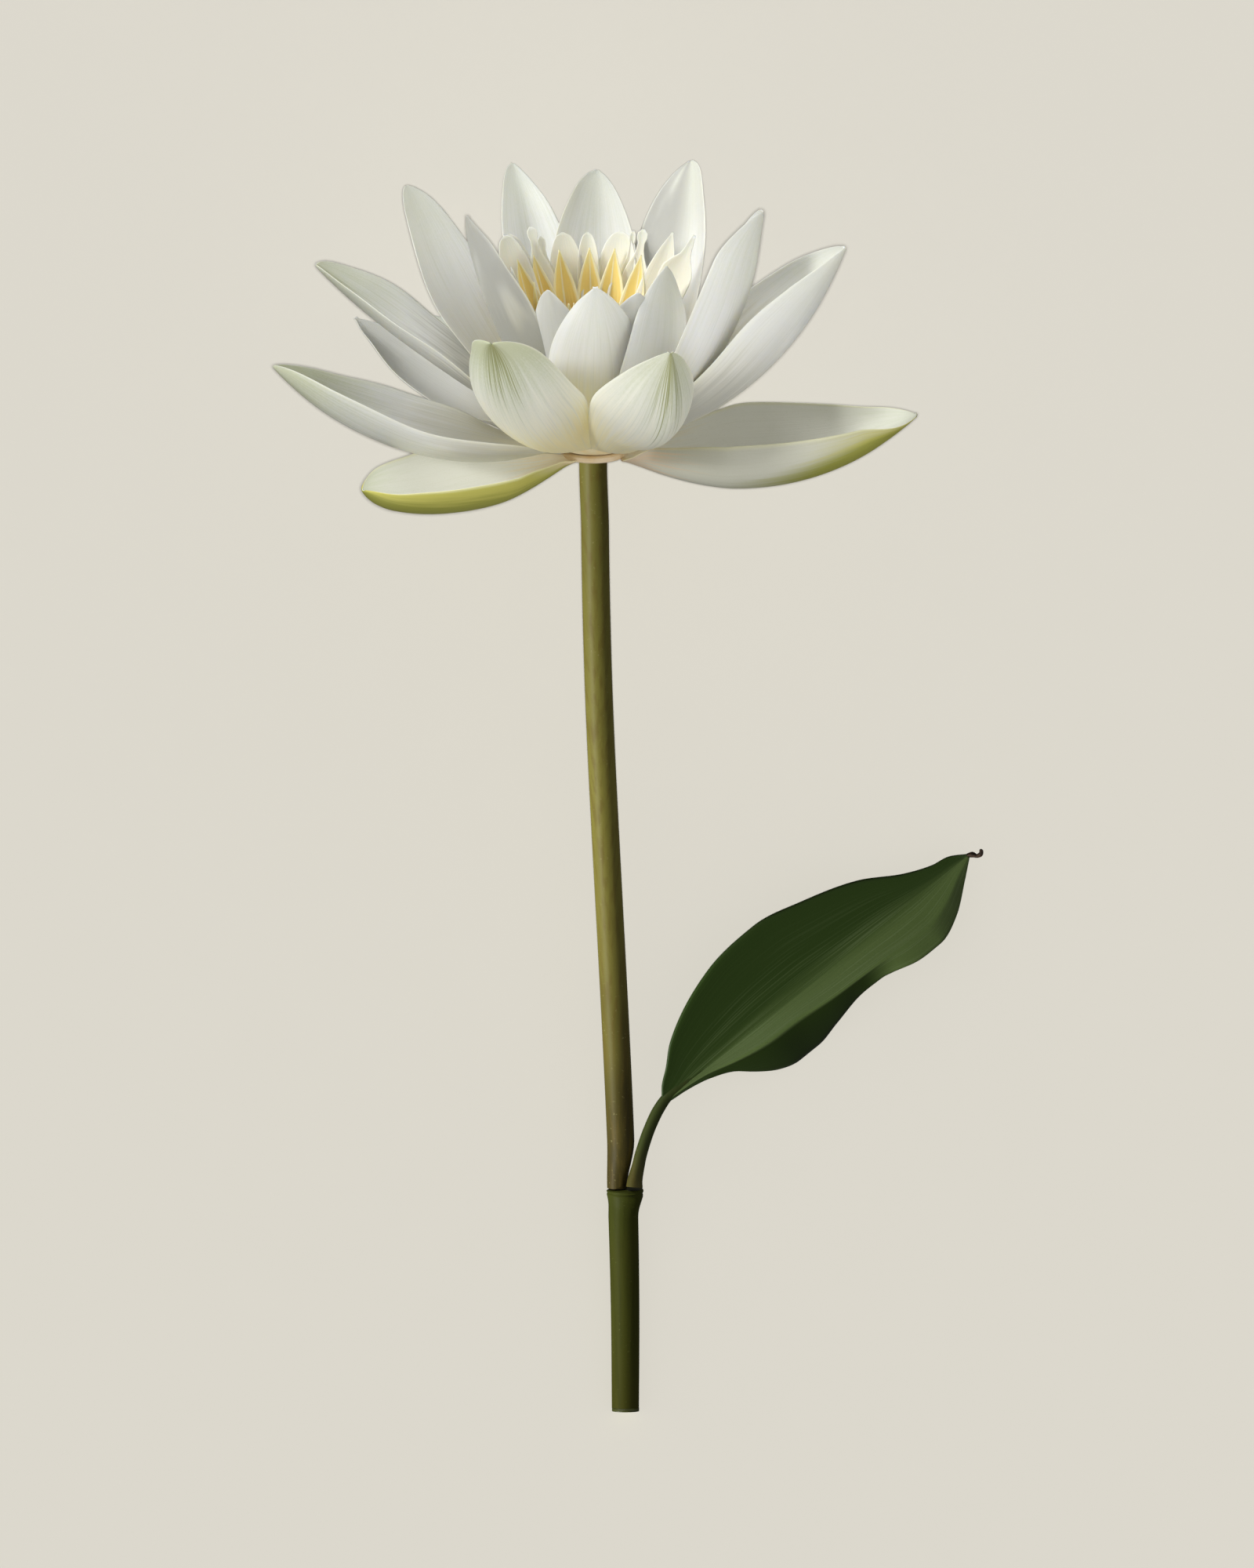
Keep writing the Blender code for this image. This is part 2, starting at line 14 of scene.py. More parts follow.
import bmesh
import bpy
import numpy as np
from bpy.types import Collection, Material, Node, NodeSocket, NodeTree, Object
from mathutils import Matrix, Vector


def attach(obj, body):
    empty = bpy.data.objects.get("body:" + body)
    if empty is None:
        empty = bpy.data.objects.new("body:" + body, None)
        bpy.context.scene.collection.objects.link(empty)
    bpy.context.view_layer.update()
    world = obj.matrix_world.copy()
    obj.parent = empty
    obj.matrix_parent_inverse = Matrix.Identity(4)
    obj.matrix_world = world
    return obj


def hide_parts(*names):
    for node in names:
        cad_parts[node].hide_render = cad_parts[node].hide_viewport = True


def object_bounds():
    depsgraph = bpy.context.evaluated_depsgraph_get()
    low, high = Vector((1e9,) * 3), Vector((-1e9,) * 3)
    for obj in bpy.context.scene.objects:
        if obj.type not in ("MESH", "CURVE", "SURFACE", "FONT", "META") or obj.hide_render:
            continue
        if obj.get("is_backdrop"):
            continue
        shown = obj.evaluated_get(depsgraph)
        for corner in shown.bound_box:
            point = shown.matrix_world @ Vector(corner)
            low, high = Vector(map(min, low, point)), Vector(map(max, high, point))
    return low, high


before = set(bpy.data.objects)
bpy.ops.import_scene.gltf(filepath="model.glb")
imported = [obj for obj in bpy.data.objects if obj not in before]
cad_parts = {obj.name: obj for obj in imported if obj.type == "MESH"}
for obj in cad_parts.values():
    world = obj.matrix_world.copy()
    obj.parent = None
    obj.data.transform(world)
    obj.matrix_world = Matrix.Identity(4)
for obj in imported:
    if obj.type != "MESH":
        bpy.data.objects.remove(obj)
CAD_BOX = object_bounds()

log = logging.getLogger("water_lily")

MM = 0.001
BODY = "root"
FULL_TURN = 2.0 * np.pi

# Where the bloom sits and how far its axis leans up off the table, as in the solids.
BASE = (-8.5, 75.9, 42.0)
BLOOM_TILT = 17.0

Colour = tuple[float, float, float]
Point = tuple[float, float, float]
Station = tuple[float, float]
Marks = dict[str, np.ndarray]


def ease(share: np.ndarray) -> np.ndarray:
    """Smooth step from 0 to 1."""
    x = np.clip(share, 0.0, 1.0)
    return x * x * (3.0 - 2.0 * x)


def unit(vectors: np.ndarray) -> np.ndarray:
    """Vectors brought to length one."""
    return vectors / np.linalg.norm(vectors, axis=-1)[..., None]


def bloom_to_part(points: np.ndarray) -> np.ndarray:
    """Moves points from the bloom's frame to the part's.

    Args:
        points: places as u to the right, v along the axis and w up.

    Returns:
        The same places in the part's frame.
    """
    tilt = np.radians(BLOOM_TILT)
    u, v, w = points[..., 0], points[..., 1], points[..., 2]
    y = v * np.cos(tilt) - w * np.sin(tilt)
    z = v * np.sin(tilt) + w * np.cos(tilt)
    return np.stack([u, y, z], -1) + np.array(BASE)


def smooth_line(stations: tuple[Station, ...], s: np.ndarray) -> np.ndarray:
    """Smooth curve through stations, with no bumps between them.

    Args:
        stations: places and their values, in rising order of place.
        s: places to read.

    Returns:
        The value at each place.
    """
    x, y = np.array(stations, float).T
    slope = np.diff(y) / np.diff(x)
    lean = np.concatenate([slope[:1], 0.5 * (slope[1:] + slope[:-1]), slope[-1:]])
    lean[1:-1][slope[1:] * slope[:-1] <= 0.0] = 0.0
    k = np.clip(np.searchsorted(x, s, side="right") - 1, 0, len(x) - 2)
    h = x[k + 1] - x[k]
    t = np.clip((s - x[k]) / h, 0.0, 1.0)
    start = (1 + 2 * t) * (1 - t) ** 2 * y[k] + t * (1 - t) ** 2 * h * lean[k]
    end = t * t * (3 - 2 * t) * y[k + 1] + t * t * (t - 1) * h * lean[k + 1]
    return start + end


def spread_line(values: tuple[float, ...], share: np.ndarray) -> np.ndarray:
    """Smooth curve through values that stand at even steps from 0 to 1."""
    return smooth_line(tuple(zip(np.linspace(0.0, 1.0, len(values)), values)), share)


# Meshes


@dataclass
class Skin:
    """A closed surface made of rings of points, with the marks that finishes read."""

    rings: np.ndarray
    marks: Marks
    fold_ends: bool = False

    def faces(self) -> list[tuple[int, ...]]:
        """Quads between the rings and a closed face or strip at each end.

        Returns:
            The corners of each face, as numbers of points.
        """
        rows, around = self.rings.shape[:2]
        i, k = np.meshgrid(np.arange(rows - 1), np.arange(around), indexing="ij")
        here, there = i * around + k, i * around + (k + 1) % around
        quads = np.stack([here, there, there + around, here + around], -1).reshape(-1, 4)
        faces = [tuple(q) for q in quads.tolist()]
        for start in (0, (rows - 1) * around):
            if not self.fold_ends:
                faces.append(tuple(range(start, start + around)))
                continue
            for j in range(around // 2):
                strip = [j, j + 1, around - j - 1, (around - j) % around]
                faces.append(tuple(start + c for c in dict.fromkeys(strip)))
        return faces

    def to_object(self, name: str, material: Material) -> Object:
        """Makes the object, with its faces pointing outwards.

        Args:
            name: the piece's name.
            material: its finish.

        Returns:
            The new object, linked to the scene.
        """
        return mesh_object(name, self.rings.reshape(-1, 3), self.faces(), self.marks, material)


def mesh_object(
    name: str, points: np.ndarray, faces: list[tuple[int, ...]], marks: Marks, material: Material
) -> Object:
    """Makes a smooth mesh object from millimetre points.

    Args:
        name: the object's name.
        points: its points, in millimetres.
        faces: its faces, as rows of point numbers.
        marks: values at each point, which are stored as attributes.
        material: its finish.

    Returns:
        The new object, linked to the scene.
    """
    mesh = bpy.data.meshes.new(name)
    mesh.from_pydata((points * MM).tolist(), [], faces)
    for mark, values in marks.items():
        kind, key = ("FLOAT_VECTOR", "vector") if values.ndim > 1 else ("FLOAT", "value")
        attribute = mesh.attributes.new(mark, kind, "POINT")
        attribute.data.foreach_set(key, values.astype(np.float32).ravel())
    work = bmesh.new()
    work.from_mesh(mesh)
    bmesh.ops.recalc_face_normals(work, faces=work.faces)
    work.to_mesh(mesh)
    work.free()
    mesh.shade_smooth()
    mesh.materials.append(material)
    piece = bpy.data.objects.new(name, mesh)
    bpy.context.scene.collection.objects.link(piece)
    return piece


def settle(piece: Object, slot: str, *nodes: str) -> None:
    """Ties a finished piece to the frame.

    Args:
        piece: the finished object.
        slot: the material slot that it belongs to, which is only logged.
        nodes: the nodes that it stands for.
    """
    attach(piece, BODY)
    if nodes:
        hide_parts(*nodes)
    log.info("%s: %d faces, slot %s", piece.name, len(piece.data.polygons), slot)


# Node trees


class Wire:
    """An output of a node. Plain arithmetic on it adds Math nodes to its tree."""

    def __init__(self, web: "Web", socket: NodeSocket) -> None:
        """Keeps the socket and the web that it is part of."""
        self.web, self.socket = web, socket

    def __add__(self, other: "Value") -> "Wire":
        """Sum."""
        return self.web.math("ADD", self, other)

    def __sub__(self, other: "Value") -> "Wire":
        """Difference."""
        return self.web.math("SUBTRACT", self, other)

    def __rsub__(self, other: float) -> "Wire":
        """Difference of a plain number and this."""
        return self.web.math("SUBTRACT", other, self)

    def __mul__(self, other: "Value") -> "Wire":
        """Product."""
        return self.web.math("MULTIPLY", self, other)

    def __abs__(self) -> "Wire":
        """Size without its sign."""
        return self.web.math("ABSOLUTE", self)


Value = Union[Wire, float]


class Web:
    """Adds nodes to a tree and wires them, for finishes and geometry alike."""

    def __init__(self, tree: NodeTree) -> None:
        """Keeps the tree."""
        self.tree = tree

    def add(self, kind: str, inputs: Optional[dict[str, Any]] = None, **settings: Any) -> Node:
        """Adds a node.

        Args:
            kind: Blender's name of the node type.
            inputs: a value or a wire for each named input.
            settings: the node's own properties.

        Returns:
            The node.
        """
        node = self.tree.nodes.new(kind)
        for key, value in settings.items():
            setattr(node, key, value)
        for key, value in (inputs or {}).items():
            self.plug(node, key, value)
        return node

    def feed(self, socket: NodeSocket, value: Any) -> None:
        """Sets an input socket to a value, or links it to a wire.

        Args:
            socket: the input.
            value: a value or a wire.
        """
        if isinstance(value, Wire):
            self.tree.links.new(value.socket, socket)
        else:
            socket.default_value = value

    def plug(self, node: Node, key: str, value: Any) -> None:
        """Feeds the input of that name."""
        self.feed(next(s for s in node.inputs if s.name == key and s.enabled), value)

    def out(
        self, kind: str, inputs: Optional[dict[str, Any]] = None, output: str = "", **settings: Any
    ) -> Wire:
        """Adds a node and returns one of its outputs.

        Args:
            kind: Blender's name of the node type.
            inputs: a value or a wire for each named input.
            output: the output's name, or nothing for the first one in use.
            settings: the node's own properties.

        Returns:
            The output.
        """
        node = self.add(kind, inputs, **settings)
        return Wire(self, node.outputs[output] if output else next(s for s in node.outputs if s.enabled))

    def math(self, operation: str, *values: Any, kind: str = "ShaderNodeMath", **settings: Any) -> Wire:
        """Adds a Math node, or another one that takes its values in order.

        Args:
            operation: Blender's name of the operation.
            values: numbers, vectors or wires, in order.
            kind: Blender's name of the node type.
            settings: the node's own properties.

        Returns:
            The result.
        """
        node = self.add(kind, operation=operation, **settings)
        for socket, value in zip([s for s in node.inputs if s.enabled], values):
            self.feed(socket, value)
        return Wire(self, next(s for s in node.outputs if s.enabled))

    def vector(self, operation: str, *values: Any) -> Wire:
        """Adds a Vector Math node."""
        return self.math(operation, *values, kind="ShaderNodeVectorMath")


class FinishWeb(Web):
    """The node tree of one material, with the marks of the blades at hand."""

    def __init__(self, name: str, roughness: float, specular: float) -> None:
        """Starts a material with a plain shader.

        Args:
            name: the material's name.
            roughness: how matt it is, from 0 to 1.
            specular: how strongly it reflects.
        """
        self.material = bpy.data.materials.new(name)
        self.material.use_nodes = True
        super().__init__(self.material.node_tree)
        self.shader = self.tree.nodes["Principled BSDF"]
        self.plug(self.shader, "Roughness", roughness)
        self.plug(self.shader, "Specular IOR Level", specular)

    def mark(self, name: str) -> Wire:
        """Reads a mark of the mesh."""
        return self.out("ShaderNodeAttribute", output="Fac", attribute_name=name)

    def flow(self) -> Wire:
        """Reads the place on a blade, in millimetres across it and along it."""
        return self.out("ShaderNodeAttribute", output="Vector", attribute_name="flow")

    def place(self) -> Wire:
        """Reads the Object coordinates, in metres."""
        return self.out("ShaderNodeTexCoord", output="Object")

    def noise(self, vector: Wire, scale: float = 1.0, detail: float = 2.0) -> Wire:
        """Adds a noise read at a vector, and returns its level from 0 to 1."""
        return self.out("ShaderNodeTexNoise", {"Vector": vector, "Scale": scale, "Detail": detail})

    def streaks(self, vector: Wire, scale: Point, detail: float = 2.0) -> Wire:
        """Adds a noise with a scale of its own along each axis of a vector."""
        return self.noise(self.vector("MULTIPLY", vector, scale), 1.0, detail)

    def step(self, value: Wire, low: float, high: float) -> Wire:
        """Smooth step of a value, from 0 at low to 1 at high. High may be the lower one."""
        inputs = {"Value": value, "From Min": low, "From Max": high}
        return self.out("ShaderNodeMapRange", inputs, interpolation_type="SMOOTHSTEP")

    def blend(self, factor: Value, a: Any, b: Any) -> Wire:
        """Mixes two colours, each a triple or a wire.

        Args:
            factor: share of the second colour.
            a: the first colour.
            b: the second colour.

        Returns:
            The mixed colour.
        """
        a, b = (colour if isinstance(colour, Wire) else (*colour, 1.0) for colour in (a, b))
        inputs = {"Factor": factor, "A": a, "B": b}
        return self.out("ShaderNodeMix", inputs, data_type="RGBA", clamp_factor=True)

    def soften(self, weight: float, radius: Colour, scale: float) -> None:
        """Lets light through the surface.

        Args:
            weight: share of the light that goes in.
            radius: how far red, green and blue go, as shares of the scale.
            scale: how deep the light goes, in millimetres.
        """
        self.plug(self.shader, "Subsurface Weight", weight)
        self.plug(self.shader, "Subsurface Radius", radius)
        self.plug(self.shader, "Subsurface Scale", scale * MM)

    def finish(self, colour: Wire, height: Wire, relief: float) -> Material:
        """Wires the colour and the relief to the shader.

        Args:
            colour: the colour.
            height: the relief's level, from 0 to 1.
            relief: how many millimetres that level stands for.

        Returns:
            The finished material.
        """
        self.plug(self.shader, "Base Color", colour)
        bump = self.out("ShaderNodeBump", {"Height": height, "Distance": relief * MM, "Strength": 1.0})
        self.plug(self.shader, "Normal", bump)
        return self.material


# Finishes. Scales are in turns of noise for each millimetre of a blade's flow, or for
# each metre of the part. Reaches are the places where a colour sets in and is full.


@dataclass(frozen=True)
class PetalFinish:
    """White petal: creamy at the root, grey-green at the tip, with fine lines along it, and painted shade on
    some flanks and lower halves.
    """

    name: str = "petal_white"
    body: Colour = (0.87, 0.87, 0.855)
    cream: Colour = (0.87, 0.83, 0.61)
    root: Colour = (0.87, 0.76, 0.38)
    tip: Colour = (0.55, 0.58, 0.40)
    point: Colour = (0.30, 0.31, 0.13)
    # Grey of the painted shade on flanks and lower halves.
    shade: Colour = (0.45, 0.45, 0.41)
    line: Colour = (0.70, 0.71, 0.62)
    margin: Colour = (0.86, 0.85, 0.70)
    streak_scale: Point = (1.5, 0.035, 1.0)
    line_scale: Point = (4.2, 0.05, 1.0)
    grain_scale: Point = (2.6, 1.6, 1.0)
    cloud_scale: Point = (0.16, 0.07, 1.0)
    cream_reach: Station = (0.62, 0.10)
    root_reach: Station = (0.30, 0.02)
    tip_reach: Station = (0.5, 1.05)
    # Where the painted shade on the lower half sets in and where it is full.
    shade_reach: Station = (0.68, 0.32)
    roughness: float = 0.48
    specular: float = 0.35
    relief: float = 0.05

    def make(self) -> Material:
        """Builds the material.

        Returns:
            The material.
        """
        web = FinishWeb(self.name, self.roughness, self.specular)
        along, across, green, flow = web.mark("along"), web.mark("across"), web.mark("green"), web.flow()
        side = abs(across)
        lines = web.streaks(flow, self.line_scale, 1.0)
        grain = web.streaks(flow, self.grain_scale)
        reach = along + (web.streaks(flow, self.streak_scale, 3.0) - 0.5) * 0.35

        low = reach - web.mark("creamy")
        colour = web.blend(web.step(low, *self.cream_reach) * 0.9, self.body, self.cream)
        colour = web.blend(web.step(low, *self.root_reach) * 0.75, colour, self.root)
        colour = web.blend(web.step(lines, 0.52, 0.72) * 0.34 * (green + 0.4), colour, self.line)
        ribbed = reach + web.step(side, 0.5, 0.0) * 0.06
        tip = web.step(ribbed, *self.tip_reach) * green * (grain * 0.7 + 0.65)
        colour = web.blend(tip, colour, self.tip)

        # Painted shade: grey over either flank and the lower half, as much as each blade's shade marks say,
        # broken into clouds.
        flank = web.step(across, -0.35, 0.35)
        shade = web.mark("shade_right") * flank + web.mark("shade_left") * (1.0 - flank)
        lower = web.mark("shade_low") * web.step(reach, *self.shade_reach)
        shade = web.math("ADD", shade, lower, use_clamp=True)
        cloud = web.streaks(flow, self.cloud_scale, 1.0)
        colour = web.blend(shade * web.step(cloud, 0.0, 0.5), colour, self.shade)
        point = web.step(reach + lines, 1.25, 1.5) * web.step(side, 0.5, 0.1)
        colour = web.blend(point * web.step(green, 0.45, 1.0), colour, self.point)
        colour = web.blend(web.step(side, 0.93, 1.0) * 0.6, colour, self.margin)
        web.soften(0.5, (1.0, 0.88, 0.62), 1.0)
        return web.finish(colour, lines * 0.8 + grain * 0.2, self.relief)


@dataclass(frozen=True)
class SepalFinish:
    """Sepal: whitish inside, yellow-green outside and along its margins."""

    name: str = "sepal_green"
    inner: Colour = (0.84, 0.84, 0.76)
    inner_root: Colour = (0.87, 0.78, 0.56)
    inner_tip: Colour = (0.74, 0.77, 0.62)
    outer: Colour = (0.58, 0.575, 0.47)
    outer_green: Colour = (0.30, 0.30, 0.05)
    outer_yellow: Colour = (0.54, 0.50, 0.115)
    outer_root: Colour = (0.72, 0.56, 0.38)
    rim: Colour = (0.80, 0.78, 0.50)
    streak_scale: Point = (1.2, 0.05, 1.0)
    line_scale: Point = (3.6, 0.06, 1.0)
    grain_scale: Point = (3.0, 2.2, 1.0)
    root_reach: Station = (0.25, 0.0)
    tip_reach: Station = (0.6, 1.1)
    green_reach: Station = (0.12, 0.42)
    roughness: float = 0.5
    specular: float = 0.35
    relief: float = 0.06

    def make(self) -> Material:
        """Builds the material.

        Returns:
            The material.
        """
        web = FinishWeb(self.name, self.roughness, self.specular)
        along, green, flow = web.mark("along"), web.mark("green"), web.flow()
        side = abs(web.mark("across"))
        lines = web.streaks(flow, self.line_scale)
        grain = web.streaks(flow, self.grain_scale)
        wander = (web.streaks(flow, self.streak_scale, 3.0) - 0.5) * 0.5
        reach = along + wander

        inner = web.blend(web.step(reach, *self.root_reach), self.inner, self.inner_root)
        inner = web.blend(web.step(reach, *self.tip_reach) * green, inner, self.inner_tip)
        outer = web.blend(web.step(reach, 0.22, 0.0), self.outer, self.outer_root)
        keel = web.step(side, 0.9, 0.35)
        spread = along * 0.75 + (green - 1.0) + wander * 0.4 + (keel - 0.5) * 0.3
        skin = web.blend(web.step(side + wander, 0.55, 0.9) * 0.75, self.outer_green, self.outer_yellow)
        outer = web.blend(web.step(spread, *self.green_reach), outer, skin)
        colour = web.blend(web.step(web.mark("inside"), 0.45, 0.55), outer, inner)
        colour = web.blend(web.step(side, 0.94, 1.0) * 0.6, colour, self.rim)
        darker = web.blend(0.5, colour, self.outer_green)
        colour = web.blend(web.step(lines, 0.5, 0.8) * 0.12, colour, darker)
        darker = web.blend(0.6, colour, self.outer_green)
        colour = web.blend(web.step(grain, 0.55, 0.75) * 0.10, colour, darker)
        return web.finish(colour, lines * 0.7 + grain * 0.3, self.relief)


@dataclass(frozen=True)
class StamenFinish:
    """Stamen: deep at its root, lighter towards its tip, with pale bands at its sides."""

    name: str
    root: Colour
    body: Colour
    tip: Colour
    band: Colour
    band_share: float = 0.6
    slit_width: float = 0.12
    streak_scale: Point = (2.4, 0.12, 1.0)
    body_reach: Station = (0.30, 0.72)
    tip_reach: Station = (0.80, 1.05)
    roughness: float = 0.5
    specular: float = 0.35
    relief: float = 0.06

    def make(self) -> Material:
        """Builds the material.

        Returns:
            The material.
        """
        web = FinishWeb(self.name, self.roughness, self.specular)
        along, across, tone = web.mark("along"), web.mark("across"), web.mark("tone") - 0.5
        streaks = web.streaks(web.flow(), self.streak_scale, 3.0)
        reach = along + (streaks - 0.5) * 0.3 + tone * 0.2
        colour = web.blend(web.step(reach, *self.body_reach), self.root, self.body)
        colour = web.blend(web.step(reach, *self.tip_reach), colour, self.tip)
        edge = abs(across) + (streaks - 0.5) * 0.5
        colour = web.blend(web.step(edge, 0.68, 0.92) * self.band_share, colour, self.band)
        slit = web.step(abs(across - tone * 0.9), self.slit_width, 0.3 * self.slit_width)
        slit = slit * web.step(along, 0.4, 0.55)
        colour = web.blend(slit * self.band_share, colour, self.band)
        web.soften(0.4, (1.0, 0.8, 0.4), 0.8)
        return web.finish(colour, streaks, self.relief)


@dataclass(frozen=True)
class StalkFinish:
    """Stalk or stem: one green that drifts along it, with fine streaks and small specks."""

    name: str
    top: Colour
    middle: Colour
    foot: Colour
    streak: Colour
    speck: Colour
    streak_scale: Point = (900.0, 40.0, 900.0)
    cloud_scale: Point = (90.0, 30.0, 90.0)
    grain_scale: float = 1400.0
    specular: float = 0.18
    roughness: float = 0.55
    relief: float = 0.05

    def make(self) -> Material:
        """Builds the material.

        Returns:
            The material.
        """
        web = FinishWeb(self.name, self.roughness, self.specular)
        place = web.place()
        streaks = web.streaks(place, self.streak_scale, 3.0)
        grain = web.noise(place, self.grain_scale)
        drift = web.mark("along") + (web.streaks(place, self.cloud_scale) - 0.5) * 0.5
        colour = web.blend(web.step(drift, 0.0, 0.4), self.top, self.middle)
        colour = web.blend(web.step(drift, 0.55, 1.0), colour, self.foot)
        colour = web.blend(web.step(streaks, 0.42, 0.72) * 0.55, colour, self.streak)
        colour = web.blend(web.step(grain, 0.66, 0.78) * 0.5, colour, self.speck)
        return web.finish(colour, streaks * 0.7 + grain * 0.3, self.relief)


@dataclass(frozen=True)
class LeafFinish:
    """Leaf: deep green left wing, paler flank, the gap partly painted shade and light; fine lines along it.
    """

    name: str = "leaf_green"
    # Wing and flank are own greens, set further apart by painted shade on the wing and painted light on the
    # flank.
    wing: Colour = (0.027, 0.054, 0.007)
    flank: Colour = (0.090, 0.135, 0.036)
    # Painted shade on the folded part beyond the ridge, darker still towards its edges.
    fold: Colour = (0.017, 0.034, 0.003)
    edge: Colour = (0.012, 0.020, 0.002)
    under: Colour = (0.050, 0.085, 0.025)
    line: Colour = (0.150, 0.205, 0.085)
    line_scale: Point = (2.8, 0.025, 1.0)
    streak_scale: Point = (0.7, 0.02, 1.0)
    grain_scale: Point = (3.0, 2.0, 1.0)
    flank_reach: Station = (-0.35, 0.35)
    fold_reach: Station = (0.70, 0.58)
    roughness: float = 0.50
    specular: float = 0.2
    relief: float = 0.07

    def make(self) -> Material:
        """Builds the material. Across is -1 at the left rim, 1 at the ridge and 2 at the right rim.

        Returns:
            The material.
        """
        web = FinishWeb(self.name, self.roughness, self.specular)
        across, flow = web.mark("across"), web.flow()
        lines = web.streaks(flow, self.line_scale)
        grain = web.streaks(flow, self.grain_scale)
        wander = across + (web.streaks(flow, self.streak_scale, 3.0) - 0.5) * 0.5
        # Painted shade on the wing and painted light on the flank, over their own greens.
        colour = web.blend(web.step(wander, *self.flank_reach), self.wing, self.flank)
        line = web.step(lines, 0.5, 0.68) * web.step(wander, -0.9, 0.3)
        colour = web.blend(line * 0.5, colour, self.line)
        # Painted shade over the folded part beyond the ridge, darkest towards its edges.
        fold = web.step(across, 1.0, 1.1) * web.step(web.mark("along"), *self.fold_reach)
        colour = web.blend(fold, colour, self.fold)
        edge = web.step(abs(wander - 1.5), 0.3, 0.5) * fold
        colour = web.blend(edge * 0.8, colour, self.edge)
        colour = web.blend(web.step(grain, 0.5, 0.8) * 0.25, colour, self.wing)
        colour = web.blend(web.step(web.mark("inside"), 0.55, 0.45), colour, self.under)
        return web.finish(colour, lines * 0.8 + grain * 0.2, self.relief)


@dataclass(frozen=True)
class PlainFinish:
    """Soft tissue of one colour that drifts to a second one in small clouds."""

    name: str
    body: Colour
    cloud: Colour
    scale: float = 300.0
    roughness: float = 0.55
    specular: float = 0.3
    relief: float = 0.08

    def make(self) -> Material:
        """Builds the material.

        Returns:
            The material.
        """
        web = FinishWeb(self.name, self.roughness, self.specular)
        cloud = web.step(web.noise(web.place(), self.scale, 3.0), 0.35, 0.7)
        grain = web.noise(web.place(), 5.0 * self.scale)
        return web.finish(web.blend(cloud, self.body, self.cloud), grain, self.relief)


@dataclass(frozen=True)
class CutFinish:
    """Cut face of the stem: green skin, paler pith, and painted shade on the walls of the air canals."""

    name: str = "cut_pith"
    skin: Colour = (0.055, 0.062, 0.010)
    pith: Colour = (0.42, 0.44, 0.20)
    middle: Colour = (0.52, 0.50, 0.28)
    # Painted shade of the canal walls.
    canal_shade: Colour = (0.10, 0.11, 0.035)
    cell_scale: float = 4500.0
    roughness: float = 0.45
    specular: float = 0.4
    relief: float = 0.05

    def make(self) -> Material:
        """Builds the material.

        Returns:
            The material.
        """
        web = FinishWeb(self.name, self.roughness, self.specular)
        cells = web.noise(web.place(), self.cell_scale)
        reach = web.mark("along") + (cells - 0.5) * 0.12
        colour = web.blend(web.step(reach, 0.75, 0.35), self.pith, self.middle)
        colour = web.blend(web.step(reach, 0.86, 0.97), colour, self.skin)
        # Painted shade in the air canals, where the face sinks in.
        colour = web.blend(web.step(web.mark("depth"), 0.25, 0.9), colour, self.canal_shade)
        colour = web.blend(web.step(cells, 0.5, 0.7) * 0.3, colour, self.skin)
        return web.finish(colour, cells, self.relief)


# Blades: petals, sepals and stamens

# Places along a blade, as shares of its length from the root.
ROOT_END = 0.3
ROLL_END = 0.35
CURL_END = 0.85
HOOK_START = 0.8
NOTCH_START = 0.86
RIPPLE_END = 0.15
# Ripples in each margin's length, the left one's first, and how strong the second is.
RIPPLES = ((1.4, 3.1), (1.7, 2.7))
SECOND_RIPPLE = 0.6
NOTCH_WIDTH = 0.22
LEAST_WIDTH = 0.05
# How soft the midrib's crease and the keel are, as squares of shares of half the width.
CREASE_SOFTNESS = 0.12
KEEL_SOFTNESS = 0.004


def ripple(s: np.ndarray, counts: Station, phases: np.ndarray) -> np.ndarray:
    """Two waves along a margin, the second one weaker."""
    first, second = (np.sin(FULL_TURN * count * s + phase) for count, phase in zip(counts, phases))
    return first + SECOND_RIPPLE * second


